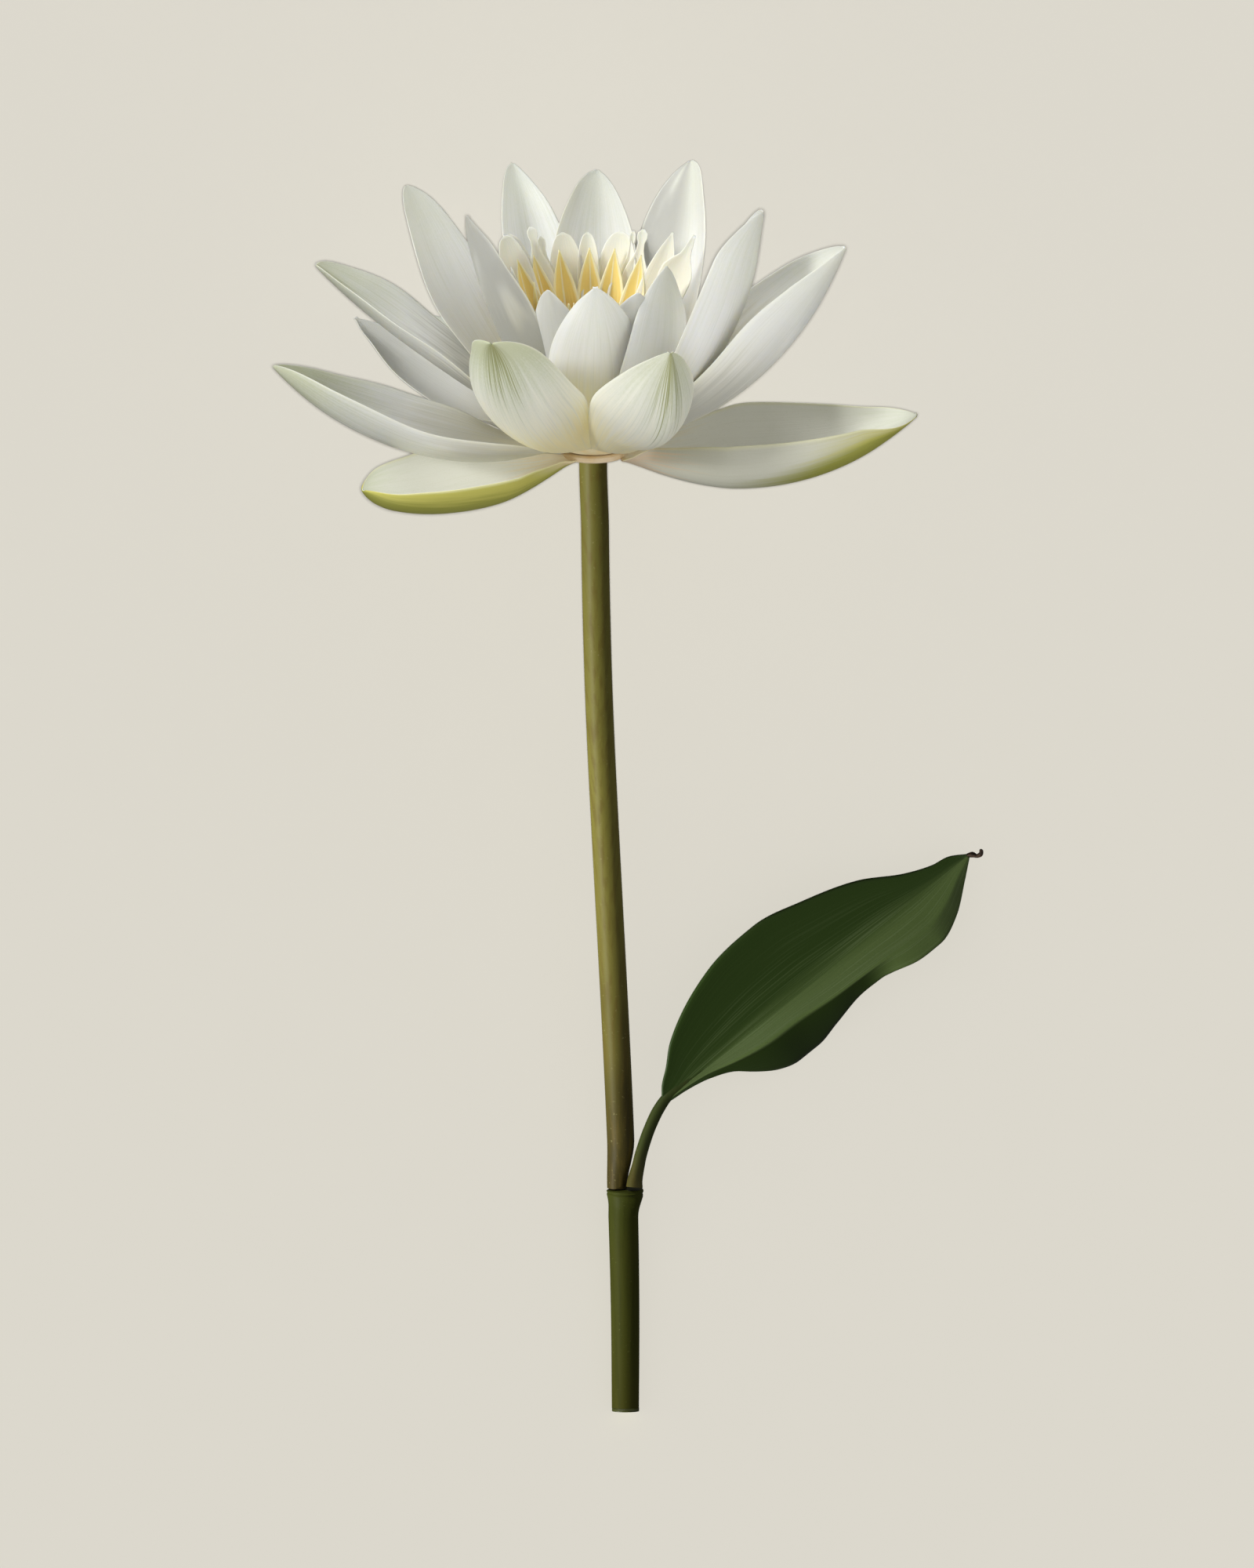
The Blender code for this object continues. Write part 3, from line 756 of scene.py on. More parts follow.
@dataclass(frozen=True)
class Blade:
    """Form of one petal, sepal or stamen. Angles in degrees, lengths in millimetres.

    azimuth: where round the bloom's axis it stands, 0 to the right and 90 to the viewer.
    rise: how steeply its middle climbs along the axis.
    length, width: its full size.
    cup: how far its margins curl inward. curl_from says where the curl is full, and
        tip_curl what share of it the tip keeps.
    arch: how much steeper its tip is than its middle.
    roll, bend: its turn about its own length, and its swing to one side.
    widest, foot, tip: where it is widest, its width at the root, and how fast it narrows.
    hook: how much more its last stretch turns up.
    crease, keel: how far the midrib is pulled outward, all along and near the tip alone,
        as shares of half the width.
    wave, notch: ripples of its margins, and how far its tip is pulled in at the middle.
    green, creamy: how green its tip is, and how much further its cream climbs.
    shade_left, shade_right, shade_low: how much painted shade greys each flank and the lower half.
    outline: stations of its width, in place of widest, foot and tip.
    """

    azimuth: float
    rise: float
    length: float
    width: float
    cup: float
    arch: float
    roll: float = 0.0
    bend: float = 0.0
    widest: float = 0.55
    tip: float = 0.8
    hook: float = 0.0
    foot: float = 0.3
    curl_from: float = 0.3
    tip_curl: float = 0.6
    crease: float = 0.10
    keel: float = 0.0
    wave: float = 0.35
    notch: float = 0.0
    green: float = 0.5
    creamy: float = 0.0
    shade_left: float = 0.0
    shade_right: float = 0.0
    shade_low: float = 0.0
    outline: tuple[Station, ...] = ()

    def width_share(self, s: np.ndarray) -> np.ndarray:
        """Share of the full width at each station.

        Args:
            s: shares along the blade.

        Returns:
            A share for each station.
        """
        if self.outline:
            return smooth_line(self.outline, s)
        swell = np.sin(0.5 * np.pi * np.clip(s / self.widest, 0.0, 1.0)) ** 1.3
        taper = np.clip((s - self.widest) / (1.0 - self.widest), 0.0, 1.0)
        share = np.where(s < self.widest, self.foot + (1.0 - self.foot) * swell,
                         np.cos(0.5 * np.pi * taper) ** self.tip)
        return np.maximum(share, LEAST_WIDTH)

    def midline(self, s: np.ndarray) -> tuple[np.ndarray, np.ndarray, np.ndarray]:
        """Finds the line along the blade's middle.

        Args:
            s: shares along the blade.

        Returns:
            The points, the direction at each, and its climb in radians.
        """
        turn = 2.0 * s - 1.0
        hooked = np.clip((s - HOOK_START) / 0.2, 0.0, 1.0) ** 2
        climb = np.radians(self.rise + self.arch * turn + self.hook * hooked)
        swing = np.radians(self.bend * turn)
        along = np.stack([np.cos(climb) * np.cos(swing), np.sin(climb), np.cos(climb) * np.sin(swing)], 1)
        steps = 0.5 * (along[1:] + along[:-1]) * np.diff(s)[:, None]
        middle = np.concatenate([np.zeros((1, 3)), np.cumsum(steps, 0)])
        return middle * self.length / np.linalg.norm(middle[-1]), along, climb

    def depth(
        self, s: np.ndarray, q: np.ndarray, half: np.ndarray, curl: np.ndarray, seed: int
    ) -> np.ndarray:
        """How far each place lies inward of the blade's middle line.

        Args:
            s: shares along the blade.
            q: shares across it.
            half: half its width at each s, as a column.
            curl: angle of its curl at each s, as a column.
            seed: number that sets its ripples.

        Returns:
            A depth for each s and q.
        """
        depth = half * (1.0 - np.cos(curl * q)) / curl
        rooted = ease(s / ROOT_END)
        folds = ((self.crease, CREASE_SOFTNESS, rooted),
                 (self.keel, KEEL_SOFTNESS, ease((s - ROOT_END) / 0.5)))
        for share, soft, grown in folds:
            fold = np.sqrt(q * q + soft) - np.sqrt(1.0 + soft)
            depth = depth + share * half * fold * grown[:, None]
        phases = np.random.default_rng(seed).uniform(0.0, FULL_TURN, 4)
        left, right = ripple(s, RIPPLES[0], phases[:2]), ripple(s, RIPPLES[1], phases[2:])
        waves = np.where(q < 0.0, left[:, None], right[:, None]) * np.abs(q) ** 2.5
        return depth + self.wave * waves * (rooted * ease((1.0 - s) / RIPPLE_END))[:, None]

    def surface(self, s: np.ndarray, q: np.ndarray, root: Station, seed: int) -> np.ndarray:
        """Middle surface in the bloom's frame.

        Args:
            s: shares along the blade, from root to tip.
            q: shares across it, from -1 to 1.
            root: distance of its root from the bloom's axis, and height along it.
            seed: number that sets its ripples.

        Returns:
            A grid of points, a row for each s and a column for each q.
        """
        middle, along, climb = self.midline(s)
        inward = np.stack([-np.sin(climb), np.cos(climb), np.zeros_like(climb)], 1)
        side = unit(np.cross(along, inward))
        inward = np.cross(side, along)
        roll = np.radians(self.roll) * np.clip(s / ROLL_END, 0.0, 1.0)[:, None]
        side, inward = (side * np.cos(roll) + inward * np.sin(roll),
                        inward * np.cos(roll) - side * np.sin(roll))
        curled = smooth_line(((0.0, 0.2), (self.curl_from, 1.0), (CURL_END, 1.0), (1.0, self.tip_curl)), s)
        curl = np.maximum(np.radians(self.cup) * curled, 0.001)[:, None]
        half = (0.5 * self.width * self.width_share(s))[:, None]
        across = half * np.sin(curl * q) / curl
        depth = self.depth(s, q, half, curl, seed)

        grid = middle[:, None] + side[:, None] * across[..., None] + inward[:, None] * depth[..., None]
        pull = self.notch * np.exp(-((q / NOTCH_WIDTH) ** 2)) * ease((s - NOTCH_START) / 0.14)[:, None]
        grid = grid - along[:, None] * pull[..., None] + np.array([root[0], root[1], 0.0])
        spin = np.radians(self.azimuth)
        u = grid[..., 0] * np.cos(spin) - grid[..., 2] * np.sin(spin)
        w = grid[..., 0] * np.sin(spin) + grid[..., 2] * np.cos(spin)
        return np.stack([u, grid[..., 1], w], -1)


@dataclass(frozen=True)
class Mesher:
    """How finely blades are meshed, how thick they are, and how they thin out at the tip."""

    rows: int
    columns: int
    thickness: float
    rim_power: float = 5.0
    tip_thinning: float = 0.55
    thin_from: float = 0.8
    evenness: float = 0.35
    table_softness: float = 3.0
    flow_step: float = 7.3

    def stations(self) -> np.ndarray:
        """Shares along a blade, closer together at its tip."""
        even = np.linspace(0.0, 1.0, self.rows + 1)
        return self.evenness * even + (1.0 - self.evenness) * np.sin(0.5 * np.pi * even)

    def crossings(self) -> np.ndarray:
        """Shares across a blade, closer together at its margins."""
        return np.sin(0.5 * np.pi * np.linspace(-1.0, 1.0, self.columns + 1))

    def close(self, grid: np.ndarray, s: np.ndarray, q: np.ndarray, marks: Marks) -> Skin:
        """Gives a grid surface its two faces, which meet in a thin rounded margin.

        Args:
            grid: middle surface in the part's frame.
            s: share along the blade of each row.
            q: share across the blade of each column, from -1 to 1.
            marks: values on the grid that the finish reads.

        Returns:
            The closed skin, with the mark inside added: 1 on the inner face, 0 on the outer.
        """
        normals = unit(np.cross(np.gradient(grid, axis=1), np.gradient(grid, axis=0)))
        rim = (1.0 - np.abs(q) ** self.rim_power) ** 0.5
        thin = 1.0 - self.tip_thinning * ease((s - self.thin_from) / 0.2)
        half = 0.5 * self.thickness * rim[None, :] * thin[:, None]
        inner = grid + normals * half[..., None]
        outer = (grid - normals * half[..., None])[:, -2:0:-1]
        looped = {}
        for name, values in marks.items():
            both = np.concatenate([values, values[:, -2:0:-1]], 1)
            looped[name] = both.reshape(-1, 3) if both.ndim == 3 else both.ravel()
        looped["inside"] = np.concatenate([np.ones(inner.shape[:2]), np.zeros(outer.shape[:2])], 1).ravel()
        return Skin(np.concatenate([inner, outer], 1), looped, fold_ends=True)

    def blade(
        self, blade: Blade, root: Station, seed: int, on_table: bool = False, local: bool = False
    ) -> Skin:
        """Closed skin of one blade.

        Args:
            blade: its form.
            root: distance of its root from the bloom's axis, and height along it.
            seed: number that sets its ripples and its lines.
            on_table: whether it lies down on the table where it would sink in.
            local: whether it stays in the bloom's frame.

        Returns:
            The skin in the part's frame, or in the bloom's.
        """
        s, q = self.stations(), self.crossings()
        grid = blade.surface(s, q, root, seed)
        if not local:
            grid = bloom_to_part(grid)
        if on_table:
            floor, soft = 0.5 * self.thickness, self.table_softness
            grid[..., 2] = floor + soft * np.logaddexp(0.0, (grid[..., 2] - floor) / soft)
        along, across = np.meshgrid(s, q, indexing="ij")
        start = np.full_like(along, self.flow_step * seed)
        flow = np.stack([0.5 * blade.width * across, blade.length * along, start], -1)
        marks = {"along": along, "across": across, "flow": flow}
        # green and creamy set the blade's own colours; the shade marks set its painted shade.
        for key in ("green", "creamy", "shade_left", "shade_right", "shade_low"):
            marks[key] = np.full_like(along, getattr(blade, key))
        return self.close(grid, s, q, marks)


PETAL_MESH = Mesher(rows=60, columns=26, thickness=0.7)
STAMEN_MESH = Mesher(rows=18, columns=8, thickness=0.6, rim_power=3.0)


@dataclass
class Whorl:
    """A ring of blades, each a piece of its own, that stand for one node."""

    node: str
    slot: str
    root: Station
    blades: dict[str, Blade]
    seed: int
    lies_on_table: tuple[str, ...] = ()

    def make(self, material: Material) -> list[Object]:
        """Builds its pieces.

        Args:
            material: the finish of every blade.

        Returns:
            The finished pieces.
        """
        made = []
        for number, (name, blade) in enumerate(self.blades.items()):
            skin = PETAL_MESH.blade(blade, self.root, self.seed + number, name in self.lies_on_table)
            piece = skin.to_object(name, material)
            settle(piece, self.slot, self.node)
            made.append(piece)
        return made


SEPALS = Whorl("sepals", "sepal", (6.5, 0.9), {
    "sepal_left": Blade(140.2, 0.7, 60.1, 33.2, 80.5, 25.5, roll=9.2, bend=-13.1, widest=0.43, tip=0.51,
                        hook=27.3, foot=0.16, curl_from=0.06, tip_curl=0.94, crease=0.0, wave=0.08,
                        green=1.35),
    "sepal_right": Blade(10, 10.5, 69.2, 42.7, 105, 36.2, roll=-12.7, bend=13, widest=0.41, tip=0.72,
                         hook=-5, curl_from=0.08, tip_curl=0.2, crease=0.0, wave=0.08, green=0.78),
    "sepal_back_right": Blade(-70, 8, 64, 32, 50, 12, green=0.9),
    "sepal_back_left": Blade(-122, 8, 64, 32, 50, 12, green=0.9),
}, seed=11, lies_on_table=("sepal_back_right", "sepal_back_left"))

OUTER_PETALS = Whorl("petals", "petal", (7.0, 4.5), {
    "petal_left_low": Blade(166, 17.5, 71.1, 37, 50.7, 24.4, roll=3.6, bend=28.2, widest=0.57, tip=0.6,
                            hook=-3.5, foot=0.28, tip_curl=0.94, green=1.1, shade_left=0.2,
                            shade_right=0.2, shade_low=0.35),
    "petal_left_behind": Blade(213, 19, 63, 25, 35, 17, roll=12, bend=-3, widest=0.48, tip=0.9, hook=-5,
                               green=0.3, shade_left=0.6, shade_right=0.6),
    "petal_left_middle": Blade(173.5, 37.1, 70.5, 32.2, 29.8, 2.1, roll=5.8, bend=12.7, widest=0.59,
                               tip=0.52, hook=-1.8, foot=0.28, tip_curl=1.0, green=0.8, shade_left=0.12,
                               shade_low=1.0),
    "petal_left_tall": Blade(198, 57, 68, 26, 18, 14, roll=8, bend=11, widest=0.67, tip=0.6, hook=-15,
                             shade_low=0.2),
    "petal_back_left": Blade(-112, 52, 70, 22, 35, 2, roll=-18, bend=9, widest=0.53, tip=0.65, hook=-10),
    "petal_back_middle": Blade(-89, 55, 66, 23, 45, 4, roll=-12, bend=7, tip=0.65, hook=-15, shade_left=0.2,
                               shade_right=0.3),
    "petal_back_right": Blade(-62, 57, 69, 28, 30, 18, roll=19, bend=-14, widest=0.51, tip=0.6, hook=-30,
                              shade_left=1.0, shade_right=0.15),
    "petal_right_tall": Blade(34, 57, 71, 30, 70, 30, roll=-20, bend=-7, widest=0.66, tip=0.5, hook=-15,
                              green=0.4),
    "petal_right_wide": Blade(20, 43, 73, 37, 85, 24, roll=-18, bend=-8, widest=0.6, tip=0.65, hook=-5,
                              green=0.4, creamy=0.15, shade_left=0.2, shade_right=0.3, shade_low=0.6),
    "petal_front_left": Blade(114, 38, 58, 32, 65, 36, roll=-4, bend=-3, widest=0.54, tip=0.5, hook=-30,
                              notch=0.8, green=1.15, creamy=0.27, shade_left=0.1),
    "petal_front_right": Blade(70, 37, 54, 29, 65, 35, widest=0.58, tip=0.8, hook=-15, keel=0.6, green=0.9,
                               creamy=0.3, shade_right=0.3),
    "petal_front_middle": Blade(89, 56, 53, 25.5, 56, 4, roll=-3, bend=5, widest=0.42, tip=0.85, green=0.3),
}, seed=31)

INNER_PETALS = Whorl("petals", "petal", (7.6, 7.0), {
    "petal_inner_left": Blade(158, 66, 57, 23, 40, 8, roll=-11, widest=0.45, hook=5, green=0.3, creamy=0.25,
                              shade_left=0.9, shade_right=0.9, shade_low=0.4),
    "petal_inner_right": Blade(57.5, 65, 48, 20.5, 30, 36, roll=-14, bend=10, widest=0.6, tip=0.75,
                               hook=-15, green=0.35),
    "petal_inner_front_left": Blade(116, 68, 40, 15, 22, 4, roll=8, bend=-4, tip=0.65, green=0.2,
                                    shade_left=0.4, shade_right=0.4),
    "petal_inner_front_right": Blade(70, 60, 44, 16, 40, 8, tip=0.65, green=0.2),
}, seed=51)

BACK_PETALS = Whorl("petals", "petal", (7.0, 4.5), {
    "petal_hidden_right": Blade(-25, 34, 54, 26, 45, 12),
    "petal_hidden_low_right": Blade(-42, 24, 56, 26, 45, 12),
    "petal_hidden_back": Blade(-96, 38, 54, 26, 45, 12),
    "petal_hidden_left": Blade(-140, 26, 50, 26, 45, 12),
}, seed=61)


# Solids of revolution in the middle of the bloom


@dataclass
class Turned:
    """A body turned about the bloom's axis, from stations of height and radius."""

    name: str
    node: str
    slot: str
    stations: tuple[Station, ...]
    rays: int = 0
    ray_depth: float = 0.0
    sides: int = 96
    steps: int = 36

    def make(self, material: Material) -> Object:
        """Builds the piece.

        Args:
            material: its finish.

        Returns:
            The finished piece.
        """
        share = np.linspace(0.0, 1.0, self.steps + 1)
        heights, radii = (spread_line(values, share) for values in zip(*self.stations))
        angle = np.linspace(0.0, FULL_TURN, self.sides, endpoint=False)
        radii = radii[:, None] * (1.0 + self.ray_depth * np.cos(self.rays * angle)[None, :])
        grid = np.stack([radii * np.cos(angle), np.broadcast_to(heights[:, None], radii.shape),
                         radii * np.sin(angle)], -1)
        marks = {"along": np.broadcast_to(share[:, None], radii.shape).ravel()}
        piece = Skin(bloom_to_part(grid), marks).to_object(self.name, material)
        settle(piece, self.slot, self.node)
        return piece


SEPAL_SEAT = Turned("sepal_seat", "sepals", "sepal",
                    ((0.0, 3.2), (0.1, 4.6), (0.5, 6.5), (1.1, 7.4), (1.8, 7.4), (2.2, 6.9)))
PETAL_CORE = Turned("petal_core", "petals", "petal",
                    ((2.3, 6.0), (3.0, 7.9), (4.2, 9.4), (5.8, 10.3), (8.0, 10.1), (9.6, 8.9), (10.0, 7.6)))
PETALOID_SEAT = Turned("petaloid_seat", "petaloid_stamens", "petaloid_stamen",
                       ((10.3, 7.8), (10.8, 8.4), (11.7, 8.3), (12.3, 7.4)))
STAMEN_SEAT = Turned("stamen_seat", "stamens", "stamen",
                     ((12.6, 5.7), (13.1, 6.2), (14.0, 6.1), (14.6, 5.4)))
STIGMA = Turned("stigma", "stigma_disc", "stigma",
                ((14.9, 2.2), (15.4, 2.45), (16.6, 2.5), (18.0, 2.95), (18.8, 2.75), (18.9, 2.2),
                 (18.5, 1.3)), rays=12, ray_depth=0.05)


# Stamens


class Stamen(Enum):
    """The forms of stamen in the bloom."""

    GOLDEN = "golden"
    INNER = "inner"
    PETALOID = "petaloid"
    POINTED = "pointed"
    BULB = "bulb"
    HORN = "horn"
    FILAMENT = "filament"


# Slope of the line from a stamen's root to its tip, which it is twisted about.
STAMEN_RISE = 72.0
STAMEN_FORMS = {
    Stamen.GOLDEN: Blade(0, 73, 33, 6.2, 30, 14, widest=0.6, tip=0.95, foot=0.35, crease=0.3, wave=0.1),
    Stamen.INNER: Blade(0, 82, 22, 4.2, 40, -6, widest=0.7, tip=0.95, foot=0.35, crease=0.35, wave=0.1),
    Stamen.PETALOID: Blade(0, 71, 41, 7.4, 30, 6, widest=0.74, tip=0.42, foot=0.35, crease=0.1, wave=0.15),
    Stamen.POINTED: Blade(0, 71, 41, 8.5, 30, 6, widest=0.6, tip=0.9, foot=0.35, crease=0.2, wave=0.15),
    Stamen.BULB: Blade(0, 71, 42, 7.0, 35, 6, crease=0.1, wave=0.1, outline=(
        (0.0, 0.35), (0.3, 0.6), (0.6, 1.0), (0.76, 0.85), (0.87, 0.3), (0.93, 0.24), (0.965, 0.42),
        (1.0, 0.1))),
    Stamen.HORN: Blade(0, 71, 42, 7.2, 35, 6, bend=14, crease=0.1, wave=0.1, outline=(
        (0.0, 0.35), (0.3, 0.6), (0.62, 1.0), (0.82, 0.95), (0.87, 0.45), (0.95, 0.2), (1.0, 0.1))),
    Stamen.FILAMENT: Blade(0, 70, 30, 1.4, 20, 10, bend=30, hook=-70, crease=0.0, wave=0.0, outline=(
        (0.0, 0.7), (0.5, 0.6), (0.9, 0.55), (1.0, 0.25))),
}


@dataclass(frozen=True)
class Spot:
    """Where one stamen stands: degrees round the axis, and its size against its form.

    lean tips it outward and twist turns its face about its own length, both in degrees.
    """

    azimuth: float
    reach: float = 1.0
    breadth: float = 1.0
    lean: float = 0.0
    tone: float = 0.5
    twist: float = 0.0


def ring(count: int, turn: float, front_cut: float = 0.0) -> tuple[Spot, ...]:
    """Stamens spread evenly round the axis, shorter towards the front.

    Args:
        count: how many there are.
        turn: azimuth of the first one.
        front_cut: share of the length that the foremost one lacks.

    Returns:
        A spot for each stamen.
    """
    spots = []
    for number in range(count):
        azimuth = turn + 360.0 * number / count
        cut = front_cut * np.sqrt(max(0.0, np.sin(np.radians(azimuth))))
        spots.append(Spot(azimuth, 1.0 - cut))
    return tuple(spots)


@dataclass
class StamenRing:
    """Stamens of one form, set on their spots by geometry nodes."""

    name: str
    form: Stamen
    node: str
    slot: str
    radius: float
    height: float
    spots: tuple[Spot, ...]
    wobble: float = 0.3
    seed: int = 1

    def places(self, material: Material) -> Object:
        """Makes an object with one point for each stamen, which carries its spot as marks.

        Args:
            material: the stamens' finish.

        Returns:
            The object.
        """
        marks = {key: np.array([getattr(spot, key) for spot in self.spots])
                 for key in ("azimuth", "reach", "breadth", "tone", "lean", "twist")}
        for key in ("azimuth", "lean", "twist"):
            marks[key] = np.radians(marks[key])
        azimuth = marks["azimuth"]
        points = np.stack([self.radius * np.cos(azimuth), np.full_like(azimuth, self.height),
                           self.radius * np.sin(azimuth)], -1)
        return mesh_object(self.name, points, [], marks, material)

    def make(self, tree: NodeTree, material: Material) -> Object:
        """Builds the piece.

        Args:
            tree: the geometry nodes that set stamens on their spots.
            material: its finish.

        Returns:
            The finished piece.
        """
        one = STAMEN_MESH.blade(STAMEN_FORMS[self.form], (0.0, 0.0), self.seed, local=True)
        pattern = one.to_object(self.name + "_pattern", material)
        host = self.places(material)
        grow(host, tree, {
            "Stamen": pattern, "Bloom Base": tuple(MM * c for c in BASE),
            "Bloom Tilt": np.radians(BLOOM_TILT), "Wobble": np.radians(self.wobble), "Seed": self.seed,
            "Material": material,
        })
        bpy.data.objects.remove(pattern, do_unlink=True)
        settle(host, self.slot, self.node)
        return host


def new_tree(name: str, inputs: dict[str, str]) -> tuple[Web, dict[str, Wire]]:
    """Starts a geometry tree.

    Args:
        name: the tree's name.
        inputs: the socket type of each named input.

    Returns:
        The web to add nodes with, and the group's inputs by name.
    """
    tree = bpy.data.node_groups.new(name, "GeometryNodeTree")
    for key, kind in inputs.items():
        tree.interface.new_socket(name=key, in_out="INPUT", socket_type="NodeSocket" + kind)
    tree.interface.new_socket(name="Geometry", in_out="OUTPUT", socket_type="NodeSocketGeometry")
    web = Web(tree)
    given = web.add("NodeGroupInput")
    return web, {socket.name: Wire(web, socket) for socket in given.outputs if socket.name}


def end_tree(web: Web, geometry: Wire, material: Wire) -> NodeTree:
    """Ends a tree by making its instances real and giving them their material.

    Args:
        web: the web that the tree was made with.
        geometry: what the tree builds.
        material: the group's material input.

    Returns:
        The tree.
    """
    real = web.out("GeometryNodeRealizeInstances", {"Geometry": geometry})
    dressed = web.out("GeometryNodeSetMaterial", {"Geometry": real, "Material": material})
    web.add("NodeGroupOutput", {"Geometry": dressed})
    return web.tree


def grow(host: Object, tree: NodeTree, values: dict[str, Any]) -> None:
    """Runs a geometry tree on an object and keeps the result as its plain mesh.

    Args:
        host: the object that the tree starts from.
        tree: the geometry nodes.
        values: a value for each named input.
    """
    modifier = host.modifiers.new(tree.name, "NODES")
    modifier.node_group = tree
    for item in tree.interface.items_tree:
        if item.item_type == "SOCKET" and item.in_out == "INPUT" and item.name in values:
            modifier[item.identifier] = values[item.name]
    host.update_tag()
    depsgraph = bpy.context.evaluated_depsgraph_get()
    mesh = bpy.data.meshes.new_from_object(host.evaluated_get(depsgraph), depsgraph=depsgraph)
    host.modifiers.clear()
    mesh.name = host.name
    host.data = mesh
    host.data.shade_smooth()


def stamen_tree() -> NodeTree:
    """Makes the tree that twists, leans, turns and sizes a stamen at every point of its host.

    Returns:
        The tree.
    """
    web, given = new_tree("set_stamens", {
        "Geometry": "Geometry", "Stamen": "Object", "Bloom Base": "Vector", "Bloom Tilt": "Float",
        "Wobble": "Float", "Seed": "Int", "Material": "Material",
    })

    def mark(name: str) -> Wire:
        """Reads a mark of the host's points."""
        return web.out("GeometryNodeInputNamedAttribute", {"Name": name}, data_type="FLOAT")

    def about(axis: Point, angle: Wire) -> Wire:
        """Rotation about an axis."""
        return web.out("FunctionNodeAxisAngleToRotation", {"Axis": axis, "Angle": angle})

    def then(first: Wire, second: Wire) -> Wire:
        """One rotation after another."""
        inputs = {"Rotation": first, "Rotate By": second}
        return web.out("FunctionNodeRotateRotation", inputs, rotation_space="GLOBAL")

    spots = web.out("GeometryNodeMeshToPoints", {"Mesh": given["Geometry"]})
    pattern = web.out("GeometryNodeObjectInfo", {"Object": given["Stamen"], "As Instance": True},
                      output="Geometry")
    wobble = {"Min": given["Wobble"] * -1.0, "Max": given["Wobble"], "Seed": given["Seed"]}
    sway = web.out("FunctionNodeRandomValue", wobble, data_type="FLOAT")
    length = (np.cos(np.radians(STAMEN_RISE)), np.sin(np.radians(STAMEN_RISE)), 0.0)
    leaning = then(about(length, mark("twist")), about((0.0, 0.0, 1.0), sway - mark("lean")))
    rotation = then(leaning, about((0.0, 1.0, 0.0), mark("azimuth") * -1.0))
    size = web.out("ShaderNodeCombineXYZ", {"X": mark("reach"), "Y": mark("reach"), "Z": mark("breadth")})
    placed = web.out("GeometryNodeInstanceOnPoints", {
        "Points": spots, "Instance": pattern, "Rotation": rotation, "Scale": size})
    tilt = web.out("ShaderNodeCombineXYZ", {"X": given["Bloom Tilt"]})
    turned = web.out("FunctionNodeEulerToRotation", {"Euler": tilt})
    bloomed = web.out("GeometryNodeTransform",
                      {"Geometry": placed, "Translation": given["Bloom Base"], "Rotation": turned})
    return end_tree(web, bloomed, given["Material"])


GOLD = StamenFinish("stamen_gold", root=(0.58, 0.24, 0.03), body=(0.94, 0.73, 0.24), tip=(0.93, 0.81, 0.43),
                    band=(0.93, 0.87, 0.62), band_share=0.85)
CREAM = StamenFinish("stamen_cream", root=(0.86, 0.74, 0.40), body=(0.82, 0.80, 0.68),
                     tip=(0.76, 0.77, 0.68), band=(0.92, 0.90, 0.78), slit_width=0.001)

# Spots seen in the photo, then those hidden at the front.
PETALOID_SPOTS = (
    Spot(-164.9, 1.025, 1.1, lean=0.9, twist=-50.0), Spot(-158.8, 1.02, lean=0.4, twist=-40.0),
    Spot(-110.8, 0.97, 1.2), Spot(-93.9, 0.966, 0.75), Spot(-71.5, 0.975, 1.35),
) + ring(7, 17.0, 0.3)[0:4]
POINTED_SPOTS = (Spot(-26.9, 1.018, 1.1, twist=40.0), Spot(-146.0, 0.86, 0.9, twist=-40.0))
BULB_SPOTS = (
    Spot(-135.1, twist=-30.0), Spot(-127.1, 0.94, 0.8, lean=0.5, twist=-20.0),
    Spot(-61.9, 0.96, 0.6, twist=20.0), Spot(-55.0, 0.975, twist=24.0),
)
HORN_SPOTS = (Spot(-4.9, 1.034, 1.1, lean=3.7, twist=60.0),)
GOLD_SPOTS = (
    Spot(-170.4, 1.05, lean=3.4, tone=0.3, twist=-55.0),
    Spot(-150.7, 1.03, 1.05, lean=0.3, tone=0.6, twist=-45.0),
    Spot(-120.6, 1.03, 1.05, lean=-0.2, tone=0.4, twist=-22.0),
    Spot(-93.5, 1.03, 1.1, lean=-0.3, tone=0.6),
    Spot(-71.4, 1.03, 1.1, lean=-0.2, tone=0.4, twist=12.0),
    Spot(-43.9, 1.01, tone=0.6, twist=30.0),
    Spot(12.0, 0.9),
) + ring(14, 12.0, 0.2)[1:7]
CURL_SPOTS = (
    Spot(-141.0, 0.80, 1.2), Spot(-120.0, 0.74, 1.0), Spot(-97.0, 0.88, 0.8), Spot(-70.0, 0.95, 0.9),
    Spot(-50.0, 0.92, 0.8),
)


# Stalk, stem and leaf stalk, grown along a path


